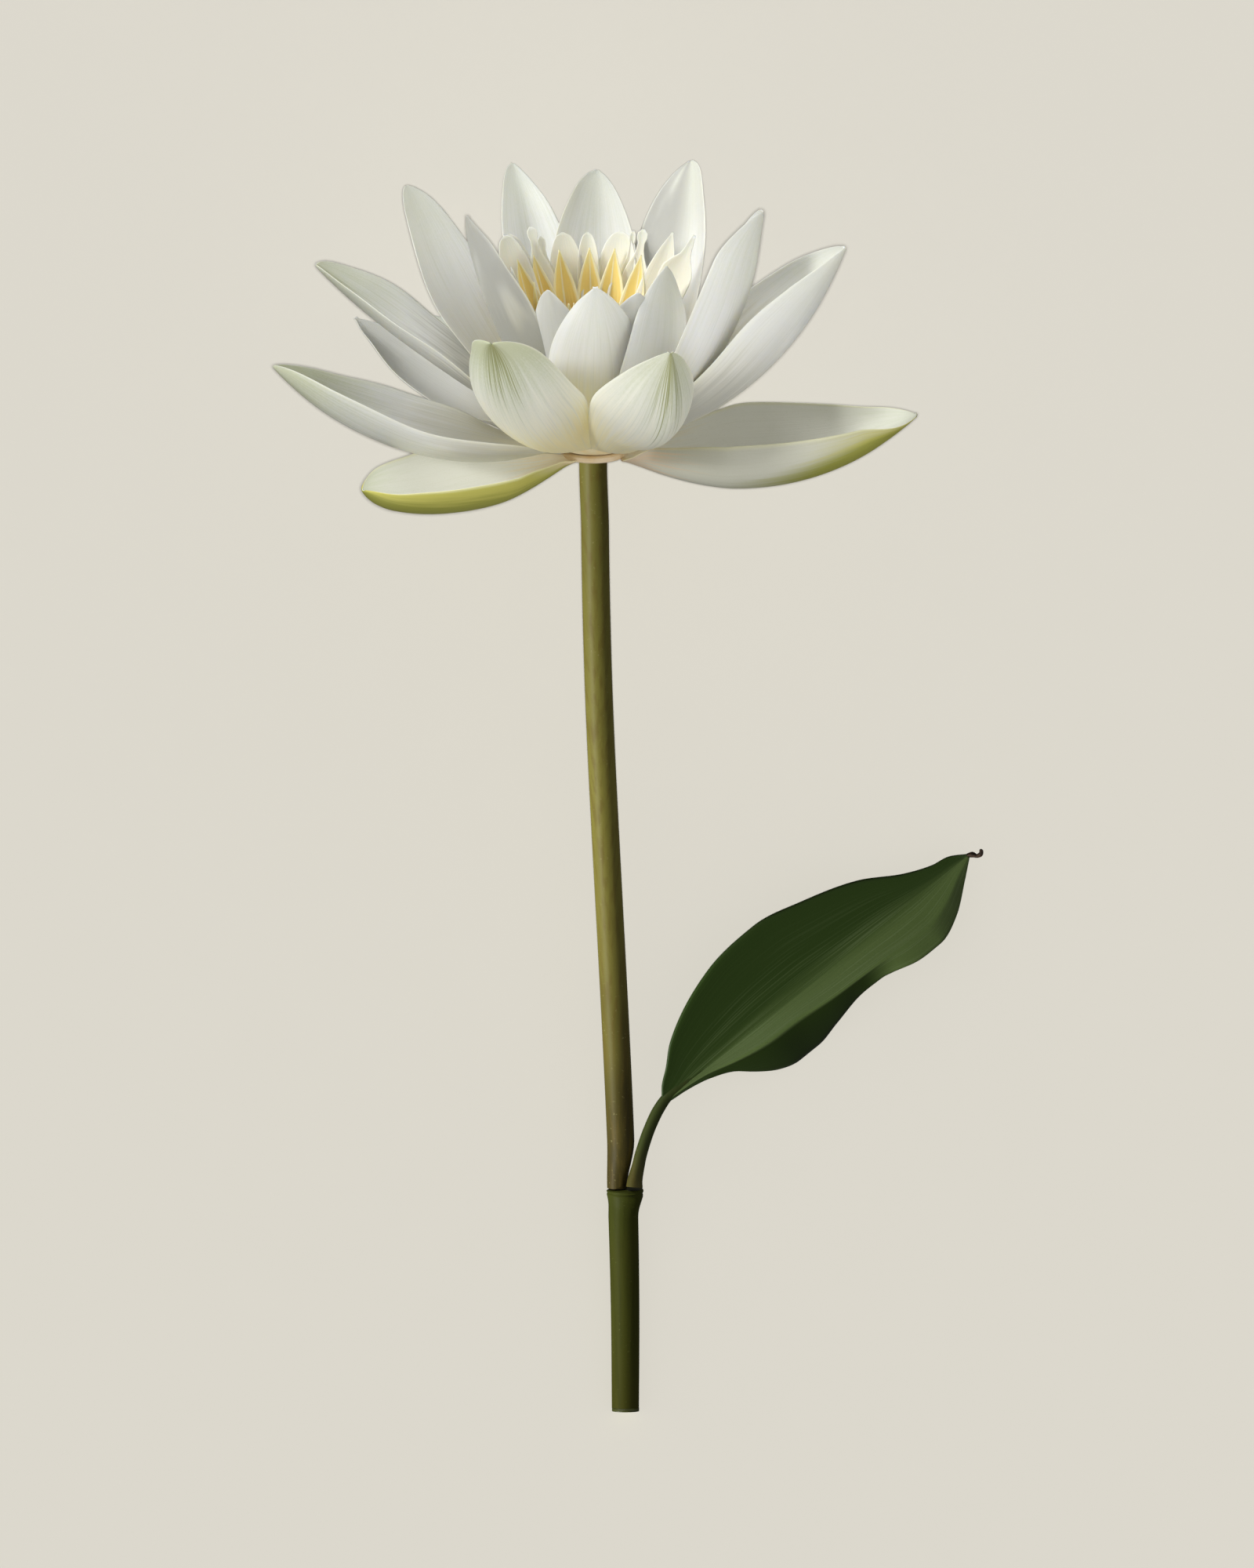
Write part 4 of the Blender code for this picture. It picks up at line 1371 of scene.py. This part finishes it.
@dataclass
class Stem:
    """A round stem grown along a path by geometry nodes."""

    name: str
    node: str
    slot: str
    path: np.ndarray
    radii: np.ndarray
    sides: int = 48
    ridges: int = 5
    ridge_depth: float = 0.012

    def make(self, tree: NodeTree, material: Material) -> Object:
        """Builds the piece.

        Args:
            tree: the geometry nodes that grow a stem on a curve.
            material: its finish.

        Returns:
            The finished piece.
        """
        curve = bpy.data.curves.new(self.name + "_path", "CURVE")
        curve.dimensions = "3D"
        spline = curve.splines.new("POLY")
        spline.points.add(len(self.path) - 1)
        spline.points.foreach_set("co", np.c_[self.path * MM, np.ones(len(self.path))].ravel())
        spline.points.foreach_set("radius", self.radii)
        guide = bpy.data.objects.new(self.name + "_guide", curve)
        bpy.context.scene.collection.objects.link(guide)
        piece = mesh_object(self.name, np.zeros((1, 3)), [], {}, material)
        grow(piece, tree, {"Path": guide, "Sides": self.sides, "Ridges": float(self.ridges),
                           "Ridge Depth": self.ridge_depth, "Unit": MM, "Material": material})
        bpy.data.objects.remove(guide, do_unlink=True)
        settle(piece, self.slot, self.node)
        return piece


def stem_tree() -> NodeTree:
    """Makes the tree that grows a softly ridged stem along a curve object.

    Returns:
        The tree.
    """
    web, given = new_tree("grow_stem", {
        "Geometry": "Geometry", "Path": "Object", "Sides": "Int", "Ridges": "Float", "Ridge Depth": "Float",
        "Unit": "Float", "Material": "Material",
    })
    path = web.out("GeometryNodeObjectInfo", {"Object": given["Path"]}, output="Geometry")
    share = web.out("GeometryNodeSplineParameter")
    marked = web.out("GeometryNodeStoreNamedAttribute", {"Geometry": path, "Name": "along", "Value": share},
                     data_type="FLOAT", domain="POINT")
    circle = web.out("GeometryNodeCurvePrimitiveCircle",
                     {"Resolution": given["Sides"], "Radius": given["Unit"]})
    angle = share * given["Ridges"] * FULL_TURN
    swell = web.math("COSINE", angle) * given["Ridge Depth"]
    spread = web.vector("SCALE", web.out("GeometryNodeInputPosition"), swell)
    ridged = web.out("GeometryNodeSetPosition", {"Geometry": circle, "Offset": spread})
    radius = web.out("GeometryNodeInputRadius")
    grown = web.out("GeometryNodeCurveToMesh", {
        "Curve": marked, "Profile Curve": ridged, "Scale": radius, "Fill Caps": True})
    return end_tree(web, grown, given["Material"])


@dataclass
class Stalks:
    """The flower stalk, the lower stem and the cut end, along one line."""

    length: float = 222.4
    drift: float = 7.4
    drift_end: float = 0.94
    fall_power: float = 1.78
    node_share: float = 0.7626
    gap: float = 0.3
    cut_radius: float = 3.2
    lower_radius: float = 3.5
    stalk_radius: float = 3.2
    foot_radius: float = 2.35
    foot_start: float = 0.71
    foot_shift: float = 1.25
    neck: float = 6.0
    neck_shift: float = 0.35
    collar_shift: float = 0.6
    collar_shift_length: float = 7.0
    cut_thickness: float = 0.8
    collar: tuple[Station, ...] = (
        (0.0, 4.0), (0.12, 4.22), (0.35, 4.34), (0.6, 4.3), (0.78, 4.16), (0.95, 4.16), (1.15, 4.26),
        (1.5, 4.25), (2.2, 4.08), (3.0, 3.88), (4.0, 3.68), (5.3, 3.56), (8.0, 3.5))

    def centre(self, share: np.ndarray) -> np.ndarray:
        """Finds points on the stem's line.

        Args:
            share: shares of its length, from 0 at the bloom to 1 at the cut end.

        Returns:
            A point for each share.
        """
        x = self.drift * ease(share / self.drift_end)
        fall = (1.0 - np.clip(share, 0.0, 1.0)) ** self.fall_power
        z = self.cut_radius + (BASE[2] - self.cut_radius) * fall - BASE[2]
        return np.stack([x, -self.length * share, z], -1) + np.array(BASE)

    def flower_stalk(self) -> Stem:
        """Plans the olive stalk from the bloom to the node.

        Returns:
            The stem, not built yet.
        """
        share = np.linspace(0.0, self.node_share, 140)
        points = self.centre(share)
        foot = ease((share - self.foot_start) / (self.node_share - self.foot_start))
        points[:, 0] += self.neck_shift * (1.0 - ease(share / 0.3)) - self.foot_shift * foot
        tilt = np.radians(BLOOM_TILT)
        axis = np.array([0.0, np.cos(tilt), np.sin(tilt)])
        distance = self.length * share[:, None]
        straight = np.array(BASE) - (self.gap + distance) * axis
        bent = ease((distance - 1.0) / (2.5 * self.neck))
        points = straight * (1.0 - bent) + points * bent
        radii = self.stalk_radius + (self.foot_radius - self.stalk_radius) * foot
        return Stem("flower_stalk_skin", "flower_stalk", "stalk", points, radii)

    def lower_stem(self) -> Stem:
        """Plans the dark lower stem with the collar that the stalks stand on.

        Returns:
            The stem, not built yet.
        """
        top = self.node_share + self.gap / self.length
        near = np.linspace(0.0, self.collar[-1][0], 72)
        far = np.linspace(self.collar[-1][0] + 1.0, self.length * (1.0 - top) - self.cut_thickness, 60)
        distance = np.concatenate([near, far])
        radii = np.concatenate([smooth_line(self.collar, near), np.interp(
            far, [far[0], far[-1]], [self.lower_radius, self.cut_radius])])
        points = self.centre(top + distance / self.length)
        points[:, 0] += self.collar_shift * (1.0 - ease(distance / self.collar_shift_length))
        return Stem("lower_stem_skin", "lower_stem", "lower_stem", points, radii)


@dataclass
class CutEnd:
    """The cut face at the stem's end: a green rim, paler pith and open air canals.

    canals: azimuth in degrees, distance from the middle and radius of each.
    sunk: how deep its back lies in the stem.
    edge_drops, edge_shares: how far the rounded edge lies under the face, and how far
        out, as shares of the radius.
    face_shares: from where to where the face reaches, as shares of the radius.
    depth: how deep the canals are.
    """

    stalks: Stalks
    canals: tuple[Point, ...] = (
        (40.0, 1.25, 0.52), (112.0, 1.30, 0.48), (183.0, 1.22, 0.54), (256.0, 1.28, 0.50),
        (327.0, 1.26, 0.47), (76.0, 2.05, 0.24), (4.0, 2.1, 0.22), (148.0, 2.08, 0.25),
        (220.0, 2.1, 0.22), (292.0, 2.06, 0.24), (10.0, 0.30, 0.20), (190.0, 0.34, 0.18))
    sunk: float = 0.05
    edge_drops: Station = (0.07, 0.015)
    edge_shares: Station = (1.0, 0.992)
    face_shares: Station = (0.97, 0.004)
    depth: float = 0.62
    rings: int = 56
    sides: int = 120

    def make(self, material: Material) -> Object:
        """Builds the piece.

        Args:
            material: its finish.

        Returns:
            The finished piece.
        """
        radius, thickness = self.stalks.cut_radius, self.stalks.cut_thickness
        end = self.stalks.centre(np.array([1.0]))[0]
        near = self.stalks.centre(np.array([1.0 - thickness / self.stalks.length]))[0]
        out = unit(end - near)
        right = unit(np.cross(out, np.array([0.0, 0.0, 1.0])))
        up = np.cross(right, out)
        angle = np.linspace(0.0, FULL_TURN, self.sides, endpoint=False)
        face = np.linspace(*self.face_shares, self.rings)
        share = np.concatenate([[self.face_shares[1], 1.0], self.edge_shares, face])
        edge = thickness - np.array(self.edge_drops)
        height = np.concatenate([[-self.sunk, -self.sunk], edge, np.full(self.rings, thickness)])
        reach = share * radius
        x, y = reach[:, None] * np.cos(angle), reach[:, None] * np.sin(angle)
        open_share = np.zeros_like(x)
        for azimuth, distance, size in self.canals:
            turn = np.radians(azimuth)
            away = np.hypot(x - distance * np.cos(turn), y - distance * np.sin(turn))
            open_share = np.maximum(open_share, ease((1.1 * size - away) / (0.35 * size)))
        open_share[:-self.rings] = 0.0
        lift = height[:, None] - self.depth * open_share
        grid = near + right * x[..., None] + up * y[..., None] + out * lift[..., None]
        along = np.broadcast_to((reach / radius)[:, None], x.shape)
        marks = {"along": along.ravel(), "depth": open_share.ravel()}
        piece = Skin(grid, marks).to_object("cut_end", material)
        settle(piece, "lower_stem", "lower_stem")
        return piece


# Leaf


@dataclass
class Leaf:
    """The folded leaf, its stalk and its dried tip.

    Places are from the bloom's base, with heights above the table, and slopes are in
    degrees. left, ridge and rim are stations of how far each runs from the midrib. The
    flows are how many millimetres its lines reckon with across each wing and along it.
    """

    start: Point = (16.3, -149.4, 8.3)
    end: Point = (87.9, -91.4, 6.5)
    lift: float = 1.0
    left: tuple[Station, ...] = (
        (0.0, 0.5), (0.012, 2.0), (0.023, 3.3), (0.058, 5.9), (0.11, 10.2), (0.3, 17.8), (0.46, 19.1),
        (0.59, 16.5), (0.74, 11.8), (0.84, 6.3), (0.91, 3.6), (0.96, 2.6), (1.0, 0.3))
    ridge: tuple[Station, ...] = (
        (0.0, 0.3), (0.05, 0.5), (0.13, 1.3), (0.21, 3.0), (0.3, 4.3), (0.4, 4.7), (0.51, 5.8), (0.59, 6.2),
        (0.66, 6.6), (0.73, 7.3), (0.8, 7.4), (0.88, 5.4), (0.95, 2.2), (1.0, 0.3))
    rim: tuple[Station, ...] = (
        (0.0, 0.6), (0.03, 0.9), (0.055, 1.1), (0.09, 1.6), (0.13, 2.5), (0.19, 4.8), (0.23, 8.1),
        (0.28, 11.3), (0.34, 12.9), (0.4, 12.9), (0.47, 11.5), (0.56, 9.7), (0.63, 9.6), (0.66, 10.1),
        (0.73, 11.8), (0.8, 12.0), (0.88, 9.3), (0.95, 4.4), (1.0, 0.5))
    left_slope: float = 26.0
    ridge_slope: float = 34.0
    fold_slope: float = 50.0
    open_slope: float = 11.3
    fold_start: float = 0.12
    fold_end: float = 0.62
    fold_blend: float = 0.08
    thickness: float = 0.7
    rim_power: float = 24.0
    flow_length: float = 94.0
    wing_flow: float = 18.0
    flank_flow: float = 8.0
    flow_start: float = 3.0
    rows: int = 110
    left_steps: int = 26
    flank_steps: int = 12
    fold_steps: int = 14
    stalk: tuple[Point, ...] = (
        (9.35, -169.3, 8.9), (9.55, -167.4, 8.85), (10.3, -164.3, 8.75), (11.1, -161.0, 8.6),
        (12.9, -155.7, 8.5), (15.3, -150.7, 8.4), (18.4, -147.0, 8.2), (26.0, -141.4, 8.0))
    stalk_radii: tuple[float, ...] = (1.95, 1.75, 1.5, 1.42, 1.36, 1.33, 1.1, 0.6)
    knob: tuple[Point, ...] = (
        (87.7, -91.5, 6.5), (88.9, -91.3, 6.9), (89.9, -91.6, 7.2), (90.8, -91.2, 7.6), (91.0, -90.4, 7.9),
        (90.6, -90.2, 8.0))
    knob_radii: tuple[float, ...] = (0.4, 0.6, 0.4, 0.5, 0.4, 0.25)

    def grid(self, s: np.ndarray, q: np.ndarray) -> np.ndarray:
        """Middle surface of the blade.

        Args:
            s: shares along the midrib.
            q: places across: -1 left rim, 0 midrib, 1 ridge and 2 right rim.

        Returns:
            A grid of points in the part's frame.
        """
        start, end = np.array(self.start), np.array(self.end)
        along = unit(end - start)
        side = unit(np.cross(along, np.array([0.0, 0.0, 1.0])))
        up = np.cross(side, along)
        middle = start + (end - start) * s[:, None] + up * (self.lift * np.sin(np.pi * s))[:, None]
        reach_left, ridge, rim = (smooth_line(line, s)[:, None] for line in (self.left, self.ridge, self.rim))
        beyond = rim - ridge
        folded = ease((s - self.fold_start) / self.fold_blend)
        folded = folded * (1.0 - ease((s - self.fold_end + self.fold_blend) / (2.0 * self.fold_blend)))
        left_tan, ridge_tan, fold_tan, open_tan = np.tan(np.radians(
            [self.left_slope, self.ridge_slope, self.fold_slope, self.open_slope]))
        fold = fold_tan * folded + open_tan * (1.0 - folded)
        rise = (left_tan * (1.0 - 0.5 * s))[:, None]
        climb = (ridge_tan * (1.0 - 0.6 * s))[:, None]

        a, b, c = np.clip(-q, 0.0, 1.0), np.clip(q, 0.0, 1.0), np.clip(q - 1.0, 0.0, 1.0)
        across = -reach_left * a + ridge * b + beyond * c
        height = reach_left * rise * a ** 1.2 + ridge * climb * b ** 1.2
        height = height - beyond * fold[:, None] * c ** 1.3
        return self.placed(middle[:, None] + side * across[..., None] + up * height[..., None])

    def placed(self, points: np.ndarray) -> np.ndarray:
        """Points from the bloom's base to the part's frame."""
        return points + np.array([BASE[0], BASE[1], 0.0])

    def blade(self, material: Material) -> Object:
        """Builds the blade.

        Args:
            material: its finish.

        Returns:
            The finished piece.
        """
        even = np.linspace(0.0, 1.0, self.rows + 1)
        s = 0.6 * even + 0.4 * np.sin(0.5 * np.pi * even)
        q = np.concatenate([np.linspace(-1.0, 0.0, self.left_steps, endpoint=False),
                            np.linspace(0.0, 1.0, self.flank_steps, endpoint=False),
                            np.linspace(1.0, 2.0, self.fold_steps + 1)])
        along, across = np.meshgrid(s, q, indexing="ij")
        breadth = np.where(across < 0.0, self.wing_flow, self.flank_flow)
        start = np.full_like(along, self.flow_start)
        flow = np.stack([breadth * across, self.flow_length * along, start], -1)
        rim = 2.0 * (np.arange(len(q)) / (len(q) - 1)) - 1.0
        marks = {"along": along, "across": across, "flow": flow}
        mesher = Mesher(self.rows, len(q) - 1, self.thickness, self.rim_power, tip_thinning=0.0)
        piece = mesher.close(self.grid(s, q), s, rim, marks).to_object("leaf_blade", material)
        settle(piece, "leaf", "leaf")
        return piece

    def tube(self, name: str, points: tuple[Point, ...], radii: tuple[float, ...], count: int) -> Stem:
        """Plans a stem of the leaf through a few chosen points.

        Args:
            name: the piece's name.
            points: places that it passes through.
            radii: its radius at each of them.
            count: how many points it gets in all.

        Returns:
            The stem, not built yet.
        """
        share = np.linspace(0.0, 1.0, count)
        path = np.stack([spread_line(axis, share) for axis in zip(*points)], -1)
        return Stem(name, "leaf", "leaf", self.placed(path), spread_line(radii, share))

    def leaf_stalk(self) -> Stem:
        """Plans the short stalk that carries the leaf.

        Returns:
            The stem, not built yet.
        """
        stem = self.tube("leaf_stalk", self.stalk, self.stalk_radii, 60)
        stem.ridges, stem.ridge_depth = 3, 0.06
        return stem

    def tip_knob(self) -> Stem:
        """Plans the dried end of the leaf, curled up on itself.

        Returns:
            The stem, not built yet.
        """
        stem = self.tube("leaf_tip_knob", self.knob, self.knob_radii, 48)
        stem.sides, stem.ridges, stem.ridge_depth = 20, 4, 0.12
        return stem


# Studio


@dataclass(frozen=True)
class Lamp:
    """A distant softbox. Azimuth runs from the photo's right to its top, elevation up from the table.

    shadows tells whether other pieces shade what it lights.
    """

    name: str
    azimuth: float
    elevation: float
    level: float
    spread: float
    shadows: bool = True

    def direction(self) -> Point:
        """Unit vector towards the lamp."""
        around, up = np.radians(self.azimuth), np.radians(self.elevation)
        return (np.cos(up) * np.cos(around), np.cos(up) * np.sin(around), np.sin(up))


@dataclass
class Studio:
    """Camera, floor and lights. The camera looks straight down, as the flower lies under it."""

    photo_height: float = 2000.0
    scale: float = 0.18
    middle: Station = (-0.76, 1.2)
    distance: float = 1500.0
    sensor: float = 36.0
    floor_colour: Colour = (0.700, 0.672, 0.597)
    # How much painted light lifts the floor's colour away from the middle, against the softbox's falloff.
    floor_painted_lift: float = 7.5
    floor_half: float = 4000.0
    floor_drop: float = 0.2
    world_level: float = 0.12
    floor_level: float = 0.905
    floor_lamp_size: float = 30.0
    bloom_lamps: tuple[Lamp, ...] = (
        Lamp("key", 168.0, 50.0, 0.42, 9.0),
        Lamp("glow", 135.0, 16.0, 0.60, 30.0),
        Lamp("top_fill", 90.0, 80.0, 0.30, 90.0),
        Lamp("foot_fill", 270.0, 14.0, 0.42, 60.0),
        Lamp("right_fill", 10.0, 12.0, 0.40, 60.0),
    )
    lifted: tuple[str, ...] = ("petal_left_tall", "petal_left_middle", "petal_right_wide",
                               "petal_front_middle", "petal_back_left", "petal_back_right")
    lift_lamps: tuple[Lamp, ...] = (Lamp("petal_lift", 75.0, 65.0, 0.17, 40.0, shadows=False),)
    sepal_lamps: tuple[Lamp, ...] = (Lamp("sepal_lift", 60.0, 60.0, 0.32, 60.0, shadows=False),)
    stem_lamps: tuple[Lamp, ...] = (
        Lamp("stem_key", 214.0, 20.0, 1.35, 12.0),
        Lamp("stem_glow", 120.0, 22.0, 0.45, 20.0),
        Lamp("stem_fill", 20.0, 35.0, 0.10, 60.0),
    )

    def over(self) -> Point:
        """Place of the camera and of the floor's softbox, in metres."""
        return (self.middle[0] * MM, self.middle[1] * MM, (BASE[2] + self.distance) * MM)

    def add(self, name: str, data: Any, place: Point = (0.0, 0.0, 0.0)) -> Object:
        """Adds a camera or a lamp to the scene.

        Args:
            name: the object's name.
            data: the camera or the lamp.
            place: where it stands, in metres.

        Returns:
            The object.
        """
        thing = bpy.data.objects.new(name, data)
        thing.location = place
        bpy.context.scene.collection.objects.link(thing)
        return thing

    def camera(self) -> None:
        """Sets the camera over the table, at the photo's frame."""
        lens = bpy.data.cameras.new("camera")
        lens.sensor_fit = "VERTICAL"
        lens.sensor_height = self.sensor
        lens.lens = self.sensor * self.distance / (self.photo_height * self.scale)
        lens.clip_end = 20.0
        bpy.context.scene.camera = self.add("camera", lens, self.over())

    def floor(self) -> Object:
        """Lays the pale floor, a little lighter far from the flower: painted light against its softbox's
        falloff.

        Returns:
            The floor.
        """
        web = FinishWeb("floor_paper", 0.95, 0.0)
        grain = web.noise(web.place(), 60.0)
        shade, pale = (tuple(share * c for c in self.floor_colour) for share in (0.99, 1.1))
        # Painted light: paler away from the middle, to even out the falloff of the floor's softbox.
        away = web.vector("LENGTH", web.place())
        lift = web.math("MULTIPLY", web.math("POWER", away, 2.0), self.floor_painted_lift, use_clamp=True)
        paper = web.blend(lift, web.blend(grain, self.floor_colour, shade), pale)
        material = web.finish(paper, grain, 0.01)
        half, drop = self.floor_half, self.floor_drop
        corners = np.array([(x * half, y * half, -drop) for x, y in ((-1, -1), (1, -1), (1, 1), (-1, 1))])
        floor = mesh_object("floor", corners, [(0, 1, 2, 3)], {}, material)
        floor.visible_diffuse = False
        floor.visible_glossy = False
        floor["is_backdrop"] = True
        return floor

    def light(self, lamp: Lamp, group: Collection, ground: Collection) -> None:
        """Adds a lamp that lights only the objects of a group.

        Args:
            lamp: where it stands and how bright it is.
            group: the objects that it lights.
            ground: the floor, the one thing that can shade a lamp without shadows.
        """
        data = bpy.data.lights.new(lamp.name, "SUN")
        data.energy = np.pi * lamp.level
        data.angle = np.radians(lamp.spread)
        light = self.add(lamp.name, data)
        light.rotation_mode = "QUATERNION"
        light.rotation_quaternion = Vector(lamp.direction()).to_track_quat("Z", "Y")
        light.light_linking.receiver_collection = group
        if not lamp.shadows:
            light.light_linking.blocker_collection = ground

    def floor_light(self, ground: Collection) -> None:
        """Adds the small softbox beside the camera, which lights only the floor and hides its shadows.

        Args:
            ground: the floor's collection.
        """
        data = bpy.data.lights.new("floor_softbox", "AREA")
        data.shape = "DISK"
        data.size = self.floor_lamp_size * MM
        data.energy = np.pi ** 2 * self.floor_level * self.over()[2] ** 2
        light = self.add("floor_softbox", data, self.over())
        light.light_linking.receiver_collection = ground

    def sky(self) -> None:
        """Sets the even, dim light from all sides."""
        world = bpy.data.worlds.new("studio")
        world.use_nodes = True
        background = world.node_tree.nodes["Background"]
        background.inputs["Color"].default_value = (1.0, 1.0, 1.0, 1.0)
        background.inputs["Strength"].default_value = self.world_level
        bpy.context.scene.world = world
        bpy.context.scene.view_settings.view_transform = "Standard"

    def make(self, bloom: list[Object], stems: list[Object]) -> None:
        """Builds the studio.

        Args:
            bloom: the bloom's pieces.
            stems: the stalk, the stem and the leaf.
        """
        self.camera()
        ground = bpy.data.collections.new("floor_lit")
        ground.objects.link(self.floor())
        self.floor_light(ground)
        plans = (("bloom", bloom, self.bloom_lamps),
                 ("lifted", [piece for piece in bloom if piece.name in self.lifted], self.lift_lamps),
                 ("sepal", [piece for piece in bloom if piece.name == "sepal_left"], self.sepal_lamps),
                 ("stems", stems, self.stem_lamps))
        for name, pieces, lamps in plans:
            group = bpy.data.collections.new(name + "_lit")
            for piece in pieces:
                group.objects.link(piece)
            for lamp in lamps:
                self.light(lamp, group, ground)
        self.sky()


def build_bloom(petal: Material, sepal: Material) -> list[Object]:
    """Builds sepals, petals, stamens and the middle of the bloom.

    Args:
        petal: the petals' finish.
        sepal: the sepals' finish.

    Returns:
        The finished pieces.
    """
    pieces = SEPALS.make(sepal)
    for whorl in (OUTER_PETALS, INNER_PETALS, BACK_PETALS):
        pieces += whorl.make(petal)
    seat = PlainFinish("seat_blush", (0.84, 0.68, 0.46), (0.82, 0.62, 0.36)).make()
    core = PlainFinish("core_cream", (0.84, 0.74, 0.48), (0.84, 0.66, 0.34)).make()
    gold, cream = GOLD.make(), CREAM.make()
    stigma = PlainFinish("stigma_yellow", (0.78, 0.60, 0.16), (0.70, 0.48, 0.10), 900.0).make()
    pieces.append(SEPAL_SEAT.make(seat))
    pieces.append(PETAL_CORE.make(core))
    pieces.append(PETALOID_SEAT.make(core))
    pieces.append(STAMEN_SEAT.make(gold))
    pieces.append(STIGMA.make(stigma))

    tree = stamen_tree()
    petaloid = {"node": "petaloid_stamens", "slot": "petaloid_stamen", "radius": 7.2, "height": 11.3}
    golden = {"node": "stamens", "slot": "stamen", "radius": 5.1, "height": 13.6}
    inner = {**golden, "radius": 4.0}
    rings = (
        (cream, StamenRing("petaloids", Stamen.PETALOID, spots=PETALOID_SPOTS, seed=3, **petaloid)),
        (cream, StamenRing("petaloids_pointed", Stamen.POINTED, spots=POINTED_SPOTS, seed=9, **petaloid)),
        (cream, StamenRing("petaloid_bulbs", Stamen.BULB, spots=BULB_SPOTS, seed=4, **petaloid)),
        (cream, StamenRing("petaloid_horns", Stamen.HORN, spots=HORN_SPOTS, seed=5, **petaloid)),
        (cream, StamenRing("filament_curls", Stamen.FILAMENT, spots=CURL_SPOTS, seed=8, **golden)),
        (gold, StamenRing("golden_stamens", Stamen.GOLDEN, spots=GOLD_SPOTS, seed=6, **golden)),
        (gold, StamenRing("golden_inner_stamens", Stamen.INNER, spots=ring(7, 24.9), seed=7, **inner)),
    )
    for material, stamens in rings:
        pieces.append(stamens.make(tree, material))
    return pieces


def build_stems() -> list[Object]:
    """Builds the flower stalk, the lower stem and the leaf.

    Returns:
        The finished pieces.
    """
    tree = stem_tree()
    olive = StalkFinish("stalk_olive", top=(0.150, 0.137, 0.026), middle=(0.205, 0.182, 0.034),
                        foot=(0.056, 0.043, 0.008), streak=(0.135, 0.095, 0.016),
                        speck=(0.30, 0.27, 0.10)).make()
    dark = StalkFinish("stem_green", top=(0.046, 0.054, 0.008), middle=(0.050, 0.054, 0.008),
                       foot=(0.052, 0.052, 0.008), streak=(0.036, 0.040, 0.006), speck=(0.11, 0.12, 0.03),
                       specular=0.05).make()
    green = StalkFinish("leaf_stalk_green", top=(0.090, 0.075, 0.016), middle=(0.046, 0.062, 0.012),
                        foot=(0.032, 0.055, 0.010), streak=(0.050, 0.055, 0.012),
                        speck=(0.12, 0.12, 0.04)).make()
    dried = PlainFinish("leaf_tip_brown", (0.050, 0.026, 0.012), (0.018, 0.012, 0.006), scale=1500.0,
                        roughness=0.7, relief=0.1).make()
    stalks, leaf = Stalks(), Leaf()
    return [
        stalks.flower_stalk().make(tree, olive),
        stalks.lower_stem().make(tree, dark),
        CutEnd(stalks).make(CutFinish().make()),
        leaf.leaf_stalk().make(tree, green),
        leaf.tip_knob().make(tree, dried),
        leaf.blade(LeafFinish().make()),
    ]


def main() -> None:
    """Builds every piece, then the studio."""
    logging.basicConfig(level=logging.INFO, format="%(name)s: %(message)s")
    bloom = build_bloom(PetalFinish().make(), SepalFinish().make())
    stems = build_stems()
    Studio().make(bloom, stems)
    boxes = {"cad": CAD_BOX, "visual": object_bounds()}
    boxes = {name: [list(corner) for corner in box] for name, box in boxes.items()}
    log.info("boxes %s", boxes)


if __name__ == "__main__":
    main()
